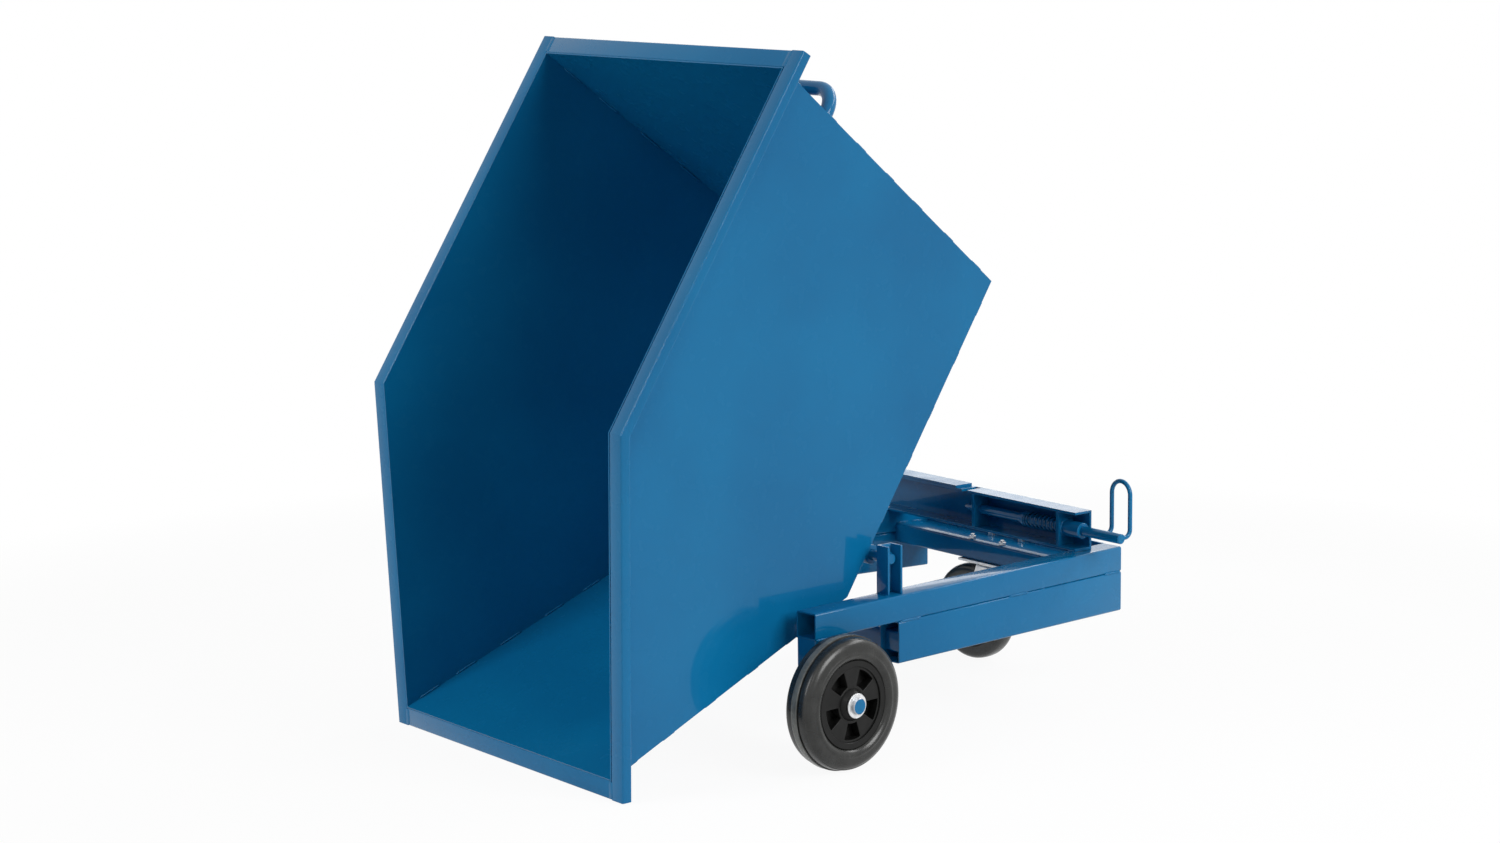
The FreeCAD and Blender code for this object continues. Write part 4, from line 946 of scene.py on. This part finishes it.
class TROLLEY_OT_caster(bpy.types.Operator):
    """Dress the caster's plate, fork and bolts and make its wheel"""
    bl_idname = "trolley.caster"
    bl_label = "Caster"
    bl_options = {"REGISTER", "UNDO"}

    def execute(self, context):
        sizes = settings("wheels")
        colours = settings("finishes")
        for node in ("caster_plate", "swivel_race", "caster_kingpin", "caster_bolts", "caster_nuts", "caster_fork",
                     "caster_axle"):
            dress(node, zinc(), edge=0.0005)
        dress("caster_bearing", steel(), edge=0.0003)
        joint = joints["caster_wheel_spin"]
        place = Matrix.Translation(joint["pos_m"]) @ facing(joint["axis"])
        seat, radius = sizes.caster_seat + GAP, sizes.caster_radius
        # Radius and distance from the wheel's middle plane, from the seat out to the tread
        wall = ((seat, 0.0215), (seat + 0.003, 0.0222), (seat + 0.007, 0.0225), (seat + 0.012, 0.0222),
                (radius - 0.009, 0.0216), (radius - 0.006, 0.0196), (radius - 0.0028, 0.0160), (radius - 0.001, 0.0115),
                (radius - 0.0002, 0.006), (radius, 0.002))
        rubber = rubber_finish("caster_rubber", tuple(level * 2.2 for level in colours.rubber))
        piece(gather([(turned(both_sides(wall), steps=96), place)]), "caster_band_tyre", "caster_wheel", [rubber],
              ["caster_tyre"])
        inner = sizes.caster_seat - 0.008
        half = ((0.0101, 0.025), (0.0185, 0.025), (0.02, 0.0235), (0.0205, 0.009), (inner - 0.0015, 0.008),
                (inner, 0.0095), (inner + 0.0008, 0.0217), (inner + 0.0016, 0.0225), (sizes.caster_seat, 0.0225))
        piece(gather([(turned(both_sides(half), steps=96), place)]), "caster_moulded_rim", "caster_wheel",
              [plastic_finish()], ["caster_rim"])
        return {"FINISHED"}


class TROLLEY_OT_sheets(bpy.types.Operator):
    """Make the skip's five sheets with the slight waves of real sheet steel"""
    bl_idname = "trolley.sheets"
    bl_label = "Skip sheets"
    bl_options = {"REGISTER", "UNDO"}

    def sheet(self, corners, thickness, seed):
        """Make a waved sheet on XY inside its corners, which run anticlockwise, with its thickness along Z."""
        cell, overhang, held, waves = 0.025, 1.02, 0.09, 4.5
        places = [Vector((x, y, 0)) for x, y in corners]
        borders = list(zip(places, places[1:] + places[:1]))
        low = Vector((min(p.x for p in places), min(p.y for p in places), 0))
        high = Vector((max(p.x for p in places), max(p.y for p in places), 0))
        size = high - low
        spread = (Matrix.Translation((low + high) / 2)
                  @ Matrix.Diagonal((size.x * overhang, size.y * overhang, 1, 1)))
        mesh = bmesh.new()
        bmesh.ops.create_grid(mesh, x_segments=int(size.x / cell), y_segments=int(size.y / cell), size=0.5,
                              matrix=spread)
        for start, end in borders:
            outward = (end - start).normalized().cross(Vector((0, 0, 1)))
            bmesh.ops.bisect_plane(mesh, geom=whole(mesh), plane_co=start, plane_no=outward, clear_outer=True,
                                   dist=SAME_PLACE)
        bmesh.ops.remove_doubles(mesh, verts=mesh.verts[:], dist=JOIN_DISTANCE)
        for corner in mesh.verts:
            inset = min((end - start).normalized().cross(corner.co - start).z for start, end in borders)
            hold = min(1, max(0, inset) / held)
            wave = noise.noise(Vector((corner.co.x * waves, corner.co.y * waves, seed)))
            corner.co.z += settings("skip").warp * wave * hold * hold * (3 - 2 * hold)
        lift(mesh, mesh.faces[:], (0, 0, thickness))
        return mesh

    def execute(self, context):
        sizes, lines = settings("skip"), skip_lines()
        skip = skip_place()
        mouth_x, mouth_z = lines.mouth
        stretch = math.hypot(1, lines.taper)
        low = -sizes.depth * stretch
        side_corners = ((sizes.floor_rear, low), (sizes.floor_front, low),
                        (mouth_x, (mouth_z - lines.level) * stretch), (sizes.rim_bend, 0), (lines.wall_top, 0))
        for label, side in SIDES.items():
            panel = self.sheet(side_corners, sizes.sheet, seed=3.7 * side)
            upright = Matrix(((1, 0, 0, 0), (0, 0, -side, 0), (0, 1, 0, 0), (0, 0, 0, 1)))
            lean = Matrix.Rotation(-side * math.atan(lines.taper), 4, "X")
            place = skip @ Matrix.Translation((0, side * sizes.top_half, lines.level)) @ lean @ upright
            painted(panel, place, f"side_sheet_{label}", "skip", f"side_panel_{label}")
        inset = sizes.sheet * stretch + GAP
        floor_half, top_half = sizes.bottom_half - inset, sizes.top_half - inset
        floor = self.sheet(((sizes.floor_rear, -floor_half), (sizes.floor_front, -floor_half),
                            (sizes.floor_front, floor_half), (sizes.floor_rear, floor_half)), sizes.sheet, seed=11)
        painted(floor, skip @ Matrix.Translation((0, 0, sizes.hinge_drop)), "bottom_sheet", "skip", "bottom_plate")
        foot = sizes.sheet + GAP
        back_rise = math.hypot(sizes.depth, lines.wall_top - sizes.floor_rear)
        back = self.sheet(((-floor_half, foot), (floor_half, foot), (top_half, back_rise), (-top_half, back_rise)),
                          sizes.sheet, seed=21)
        painted(back, back_place() @ ALONG_BAR, "back_sheet", "skip", "back_wall")
        run, rise = mouth_x - sizes.floor_front, mouth_z - sizes.hinge_drop
        mouth_half = sizes.top_half - lines.taper * (lines.level - mouth_z) - inset
        length = math.hypot(run, rise)
        slope = self.sheet(((-floor_half, foot), (floor_half, foot), (mouth_half, length), (-mouth_half, length)),
                           -sizes.sheet, seed=31)
        at_slope = (skip @ Matrix.Translation((sizes.floor_front, 0, sizes.hinge_drop))
                    @ Matrix.Rotation(math.atan2(run, rise), 4, "Y") @ ALONG_BAR)
        painted(slope, at_slope, "slope_sheet", "skip", "front_slope")
        return {"FINISHED"}


class TROLLEY_OT_rim(bpy.types.Operator):
    """Make the tube round the skip's mouth"""
    bl_idname = "trolley.rim"
    bl_label = "Rim"
    bl_options = {"REGISTER", "UNDO"}

    def bent_bar(self, sizes, lines, side):
        """Make a side bar from its rear end over its bend to the lip."""
        level, on_bend = lines.level, 1e-4
        mesh = hollow_section(sizes.rim_width - GAP, sizes.rim_height, sizes.rim_wall, sizes.rim_corner)
        mesh.transform(ALONG_BAR)
        mesh.transform(Matrix.Translation((sizes.rim_rear, sizes.top_half + GAP, level - sizes.rim_height)))
        bend = Vector((sizes.rim_bend, 0, level))
        narrowing = lines.taper * (level - sizes.lip_level)
        lip = Vector((sizes.lip_reach, -narrowing, sizes.lip_level))
        rear_heading = Vector((1, 0, 0))
        front_heading = (lip - bend).normalized()
        flat_heading = Vector((front_heading.x, 0, front_heading.z)).normalized()
        mitre = rear_heading + flat_heading
        faces = mesh.faces[:]
        for heading, point, normal in ((rear_heading, bend, mitre.normalized()), (front_heading, lip, flat_heading)):
            made = bmesh.ops.extrude_face_region(mesh, geom=faces)["geom"]
            faces = picked(made, bmesh.types.BMFace)
            for corner in picked(made, bmesh.types.BMVert):
                corner.co += heading * ((point - corner.co).dot(normal) / heading.dot(normal))
        bmesh.ops.recalc_face_normals(mesh, faces=mesh.faces[:])
        corners = [edge for edge in sharp_edges(mesh, 0.3)
                   if all(abs((corner.co - bend).dot(mitre)) < on_bend for corner in edge.verts)]
        soften(mesh, corners, 0.003, 3)
        mesh.transform(Matrix.Diagonal((1, side, 1, 1)))
        if side < 0:
            bmesh.ops.reverse_faces(mesh, faces=mesh.faces[:])
        return mesh

    def ground_weld(self, sizes):
        """Make a weld that is ground flush with the faces of two bars, across their joint."""
        half, depth, proud, inset = 0.0055, 0.0022, 0.00012, 0.0025
        weld = block(2 * half, sizes.rim_width - 2 * inset, depth + proud, edge=0.00025)
        weld.transform(Matrix.Translation((-half, inset, -depth)))
        return weld

    def execute(self, context):
        sizes, lines = settings("skip"), skip_lines()
        skip = skip_place()
        half = sizes.top_half - GAP
        section = (sizes.rim_width - GAP, sizes.rim_height, sizes.rim_wall, sizes.rim_corner)
        at_top = (skip @ Matrix.Translation((lines.wall_top - GAP, -half, lines.level - sizes.rim_height))
                  @ Matrix.Rotation(QUARTER, 4, "Z"))
        painted(tube(2 * half, *section), at_top, "top_rim_tube", "skip", "rim_top_bar")
        run, fall = sizes.lip_reach - sizes.rim_bend, lines.level - sizes.lip_level
        outward = Vector((fall, 0, run)).normalized()
        upward = Vector((-run, 0, fall)).normalized()
        lip_half = sizes.top_half - lines.taper * fall - GAP
        corner = Vector((sizes.lip_reach, -lip_half, sizes.lip_level)) - outward * sizes.rim_height
        axes = Matrix((Vector((0, 1, 0)), upward, outward)).transposed().to_4x4()
        at_lip = skip @ Matrix.Translation(corner) @ axes
        painted(tube(2 * lip_half, *section), at_lip, "lip_rim_tube", "skip", "rim_lip_bar")
        for label, side in SIDES.items():
            painted(self.bent_bar(sizes, lines, side), skip, f"side_rim_tube_{label}", "skip", f"rim_side_bar_{label}")
        flush = []
        for place, length in ((at_top, 2 * half), (at_lip, 2 * lip_half)):
            for middle in (-GAP / 2, length + GAP / 2):
                flush.append((self.ground_weld(sizes), place @ Matrix.Translation((middle, 0, sizes.rim_height))))
        piece(gather(flush), "rim_corner_welds", "skip", [enamel()])
        return {"FINISHED"}


class TROLLEY_OT_handle(bpy.types.Operator):
    """Make the push handle and dress the hinge sleeves and the catch"""
    bl_idname = "trolley.handle"
    bl_label = "Push handle"
    bl_options = {"REGISTER", "UNDO"}

    def execute(self, context):
        sizes = settings("skip")
        short = sizes.handle_reach - sizes.handle_bend
        straight = 2 * (sizes.handle_half - sizes.handle_bend)
        start = (-GAP, -sizes.handle_half, skip_lines().handle_level)
        handle = wire(sizes.handle_radius, start, (-1, 0, 0), (
            ("run", short), ("bend", (0, 1, 0), sizes.handle_bend, QUARTER), ("run", straight),
            ("bend", (1, 0, 0), sizes.handle_bend, QUARTER), ("run", short)), segments=32, bend_steps=18)
        painted(handle, back_place(), "push_bar", "skip", "push_handle")
        for node in ("hinge_sleeve_left", "hinge_sleeve_right", "catch_lug"):
            dress(node, enamel())
        return {"FINISHED"}


class TROLLEY_OT_chassis_welds(bpy.types.Operator):
    """Make the weld beads of the chassis"""
    bl_idname = "trolley.chassis_welds"
    bl_label = "Chassis welds"
    bl_options = {"REGISTER", "UNDO"}

    def execute(self, context):
        sizes, latch, wheels = settings("chassis"), settings("latch"), settings("wheels")
        pivot, caster = joints["skip_tip"]["pos_m"], joints["caster_swivel"]["pos_m"]
        seam = sizes.ground_gap + sizes.lower_height
        rail_top = seam + sizes.upper_height
        width, spread = sizes.rail_width, math.tan(sizes.toe)
        lower_reach = (sizes.rail_front - sizes.lower_front) / math.cos(sizes.toe)
        rail_length = (sizes.half_length + sizes.rail_front) / math.cos(sizes.toe)
        # Where beads start and end along the rails' seam, and how deep their middle lies in the rails' corner
        seam_stitches, sunk = ((0.004, 0.06), (0.304, 0.358), (0.585, 0.63)), 0.0015
        # Half the depth of the latch channel, where its ends stand across, and its beads' radius
        channel_half, channel_ends, channel_bead = 0.022, {1: 0.295, -1: -0.3205}, 0.0026
        seeds = itertools.count(1)
        shapes = []
        for label, side in SIDES.items():
            inner = -side * width
            on_rail = []
            for face in (-side * sunk, side * (sunk - width)):
                for start, end in seam_stitches:
                    on_rail.append(((-lower_reach - start, face, seam), (-lower_reach - end, face, seam)))
            # Round the wheel post and along the lower rail's end
            on_rail += [((0, 0, seam), (-width, 0, seam)), ((-width, 0, seam), (-width, inner, seam)),
                        ((-width, inner, seam), (0, inner, seam)),
                        ((-lower_reach, -side * 0.004, seam), (-lower_reach, inner + side * 0.004, seam))]
            place = rail_place(side)
            shapes += [(bead(*ends, BEAD, next(seeds)), place) for ends in on_rail]
            # Round the pivot post's foot
            half = sizes.post_depth / 2
            near, far = side * sizes.post_half, side * (sizes.post_half + sizes.post_width)
            for line in (((-half, near), (-half, far)), ((half, near), (half, far)), ((-half, near), (half, near))):
                ends = [(pivot[0] + x, y, rail_top) for x, y in line]
                shapes.append((bead(*ends, BEAD, next(seeds)), STILL))
            # Round the axle
            axle = wheel_place(label)
            foot = axle @ Vector((0, 0, -wheels.offset))
            outward = axle.to_3x3() @ Vector((0, 0, 1))
            shapes.append((bead_ring(foot, outward, wheels.axle_radius + 0.0015, 0.0022, next(seeds)), STILL))
            # Along the latch channel
            for x in (latch.axis_x - channel_half, latch.axis_x + channel_half):
                y = side * (sizes.rail_half - (sizes.rail_front - x) * spread - width)
                ends = ((x, y, rail_top), (x, channel_ends[side], rail_top))
                shapes.append((bead(*ends, channel_bead, next(seeds)), STILL))
            # Along the ends of the caster rail
            rail_inside = place @ Vector((-rail_length, inner, 0))
            half, top = sizes.caster_rail_depth / 2, caster[2] + sizes.caster_rail_height
            for x, run in ((caster[0] - half + 0.008, 0.03), (caster[0] + half - 0.004, -0.03)):
                y = rail_inside.y + side * (x - rail_inside.x) * spread
                shapes.append((bead((x, y, top), (x + run, y + side * run * spread, top), BEAD, next(seeds)), STILL))
        bushing = (latch.axis_x, latch.bushing_start, latch.level)
        shapes.append((bead_ring(bushing, (0, 1, 0), latch.bushing_radius + 0.0008, 0.0024, next(seeds)), STILL))
        piece(gather(shapes), "chassis_weld_beads", "chassis", [enamel()], angle=WELD_SHADING)
        return {"FINISHED"}


class TROLLEY_OT_skip_welds(bpy.types.Operator):
    """Make the weld beads of the skip"""
    bl_idname = "trolley.skip_welds"
    bl_label = "Skip welds"
    bl_options = {"REGISTER", "UNDO"}

    def execute(self, context):
        sizes, lines = settings("skip"), skip_lines()
        mouth_x, mouth_z = lines.mouth
        bottom = sizes.hinge_drop
        low, rear, front = bottom + 0.004, (sizes.floor_rear, bottom), (sizes.floor_front, bottom)
        # Depth of the beads' middle behind the side sheet's outer face, their length and radius
        inside, outside = (sizes.sheet + 0.0012, 0.05, 0.0024), (0.002, 0.035, 0.0022)
        seams = (
            ((sizes.floor_rear + 0.006, low), (lines.wall_top + 0.004, lines.level - 0.01), 6, *inside),
            ((sizes.floor_rear + 0.01, low), (sizes.floor_front - 0.01, low), 6, *inside),
            ((sizes.floor_front, bottom + 0.005), (mouth_x, mouth_z + 0.005), 6, *inside),
            (rear, (lines.wall_top, lines.level), 7, *outside),
            (rear, front, 6, *outside),
            (front, lines.mouth, 6, *outside))
        place = skip_place()
        shapes = []
        seed, seed_step = 401, 20
        for side in SIDES.values():
            for first, last, count, depth, length, radius in seams:
                ends = [(x, side * (sizes.top_half - lines.taper * (lines.level - z) - depth), z)
                        for x, z in (first, last)]
                shapes += [(shape, place) for shape in stitches(*ends, count, length, radius, seed)]
                seed += seed_step
        wall = back_place()
        for side in SIDES.values():
            middle = (0, side * sizes.handle_half, lines.handle_level)
            shapes.append((bead_ring(middle, (1, 0, 0), sizes.handle_radius + 0.001, 0.0026, seed), wall))
            seed += 1
        piece(gather(shapes), "skip_weld_beads", "skip", [enamel()], angle=WELD_SHADING)
        return {"FINISHED"}


class TROLLEY_OT_stage(bpy.types.Operator):
    """Set the floor, the light and the camera"""
    bl_idname = "trolley.stage"
    bl_label = "Stage"
    bl_options = {"REGISTER", "UNDO"}

    def looked_at(self, tree_nodes, links):
        """Tell the rays that see the background, straight or on their way from a piece, from those that only light."""
        path = tree_nodes.new("ShaderNodeLightPath")
        socket = path.outputs["Is Camera Ray"]
        for ray in ("Is Glossy Ray", "Is Transmission Ray"):
            either = tree_nodes.new("ShaderNodeMath")
            either.operation = "MAXIMUM"
            links.new(socket, either.inputs[0])
            links.new(path.outputs[ray], either.inputs[1])
            socket = either.outputs[0]
        return socket

    def floor(self):
        """Lay a white floor that keeps the trolley's shadow, with painted shade: its colour turns grey away from the
        trolley, standing in for the lamps' light falling off.
        """
        mesh = bmesh.new()
        bmesh.ops.create_circle(mesh, cap_ends=True, segments=96, radius=60)
        data = bpy.data.meshes.new("studio_floor")
        mesh.to_mesh(data)
        mesh.free()
        item = bpy.data.objects.new("studio_floor", data)
        bpy.context.scene.collection.objects.link(item)
        material = bpy.data.materials.new("studio_white")
        material.use_nodes = True
        tree_nodes, links = material.node_tree.nodes, material.node_tree.links
        shader = tree_nodes["Principled BSDF"]
        shader.inputs["Roughness"].default_value = 0.9
        shader.inputs["Specular IOR Level"].default_value = 0.0
        distance = tree_nodes.new("ShaderNodeVectorMath")
        distance.operation = "LENGTH"
        links.new(tree_nodes.new("ShaderNodeTexCoord").outputs["Object"], distance.inputs[0])
        # Painted shade: the floor's colour fades from white near the trolley to grey far off, in place of the lamps'
        # light falling off
        white, painted_far_shade = settings("finishes").floor[:], settings("finishes").floor_painted_falloff[:]
        fade_start, fade_end = 1.6, 2.6
        links.new(mixed(tree_nodes, links, distance.outputs["Value"], white, painted_far_shade, fade_start, fade_end),
                  shader.inputs["Base Color"])
        glow = tree_nodes.new("ShaderNodeEmission")
        share = tree_nodes.new("ShaderNodeMapRange")
        for socket, level in (("From Min", fade_start), ("From Max", fade_end), ("To Min", 0.93), ("To Max", 1.0)):
            share.inputs[socket].default_value = level
        links.new(distance.outputs["Value"], share.inputs["Value"])
        seen = tree_nodes.new("ShaderNodeMath")
        seen.operation = "MULTIPLY"
        links.new(share.outputs["Result"], seen.inputs[0])
        links.new(self.looked_at(tree_nodes, links), seen.inputs[1])
        mix = tree_nodes.new("ShaderNodeMixShader")
        links.new(seen.outputs[0], mix.inputs[0])
        links.new(shader.outputs[0], mix.inputs[1])
        links.new(glow.outputs[0], mix.inputs[2])
        links.new(mix.outputs[0], tree_nodes["Material Output"].inputs["Surface"])
        data.materials.append(material)

    def world(self):
        """Surround the stage with soft light that is white where it is seen."""
        world = bpy.data.worlds.new("studio_world")
        bpy.context.scene.world = world
        world.use_nodes = True
        tree_nodes, links = world.node_tree.nodes, world.node_tree.links
        around, white = tree_nodes["Background"], tree_nodes.new("ShaderNodeBackground")
        for light, strength in ((around, 0.18), (white, 1.0)):
            light.inputs["Color"].default_value = (1, 1, 1, 1)
            light.inputs["Strength"].default_value = strength
        mix = tree_nodes.new("ShaderNodeMixShader")
        links.new(self.looked_at(tree_nodes, links), mix.inputs[0])
        links.new(around.outputs[0], mix.inputs[1])
        links.new(white.outputs[0], mix.inputs[2])
        links.new(mix.outputs[0], tree_nodes["World Output"].inputs["Surface"])

    def lamp(self, name, place, target, width, height, power):
        """Hang a soft lamp that looks at a point."""
        data = bpy.data.lights.new(name, "AREA")
        data.shape = "RECTANGLE"
        data.size, data.size_y = width, height
        data.energy = power
        item = bpy.data.objects.new(name, data)
        item.location = place
        item.rotation_euler = (Vector(target) - Vector(place)).to_track_quat("-Z", "Y").to_euler()
        item.visible_camera = False
        bpy.context.scene.collection.objects.link(item)

    def camera(self):
        """Put the camera where the picture was taken from."""
        view = settings("camera")
        level = math.cos(view.elevation)
        back = Vector((math.cos(view.azimuth) * level, math.sin(view.azimuth) * level, math.sin(view.elevation)))
        right = Vector((0, 0, 1)).cross(back).normalized()
        axes = Matrix((right, back.cross(right), back)).transposed() @ Matrix.Rotation(view.roll, 3, "Z")
        data = bpy.data.cameras.new("studio_camera")
        data.sensor_fit = "HORIZONTAL"
        data.sensor_width = view.sensor
        data.lens = view.focal
        data.clip_end = 200
        item = bpy.data.objects.new("studio_camera", data)
        item.matrix_world = Matrix.Translation(view.target + back * view.distance) @ axes.to_4x4()
        bpy.context.scene.collection.objects.link(item)
        bpy.context.scene.camera = item

    def execute(self, context):
        bpy.context.scene.view_settings.view_transform = "Standard"
        self.floor()
        self.world()
        for name, setting in LAMPS.items():
            self.lamp(name, *setting)
        self.camera()
        return {"FINISHED"}


OPERATORS = (TROLLEY_OT_rails, TROLLEY_OT_cross_members, TROLLEY_OT_pivot, TROLLEY_OT_axles, TROLLEY_OT_wheels,
             TROLLEY_OT_latch_channel, TROLLEY_OT_latch, TROLLEY_OT_caster, TROLLEY_OT_sheets, TROLLEY_OT_rim,
             TROLLEY_OT_handle, TROLLEY_OT_chassis_welds, TROLLEY_OT_skip_welds, TROLLEY_OT_stage)
GROUPS = {"chassis": ChassisSizes, "wheels": WheelSizes, "latch": LatchSizes, "skip": SkipSizes, "finishes": Finishes,
          "camera": CameraSetting}


class TROLLEY_PT_panel(bpy.types.Panel):
    """List the trolley's operators and settings"""
    bl_idname = "TROLLEY_PT_panel"
    bl_label = "Tipping skip trolley"
    bl_space_type = "VIEW_3D"
    bl_region_type = "UI"
    bl_category = "Trolley"

    def draw(self, context):
        for operator in OPERATORS:
            self.layout.operator(operator.bl_idname)
        for name in GROUPS:
            group = settings(name)
            box = self.layout.box()
            for field in group.bl_rna.properties:
                if field.identifier not in ("name", "rna_type"):
                    box.prop(group, field.identifier)


def register():
    """Register the settings, the operators and the panel."""
    for name, group in GROUPS.items():
        bpy.utils.register_class(group)
        setattr(bpy.types.Scene, "trolley_" + name, PointerProperty(type=group))
    for operator in OPERATORS:
        bpy.utils.register_class(operator)
    bpy.utils.register_class(TROLLEY_PT_panel)


def unregister():
    """Take the panel, the operators and the settings away again."""
    bpy.utils.unregister_class(TROLLEY_PT_panel)
    for operator in reversed(OPERATORS):
        bpy.utils.unregister_class(operator)
    for name, group in GROUPS.items():
        delattr(bpy.types.Scene, "trolley_" + name)
        bpy.utils.unregister_class(group)


def main():
    """Make every piece and the stage."""
    register()
    for operator in OPERATORS:
        group, name = operator.bl_idname.split(".")
        getattr(getattr(bpy.ops, group), name)()


if __name__ == "__main__":
    main()
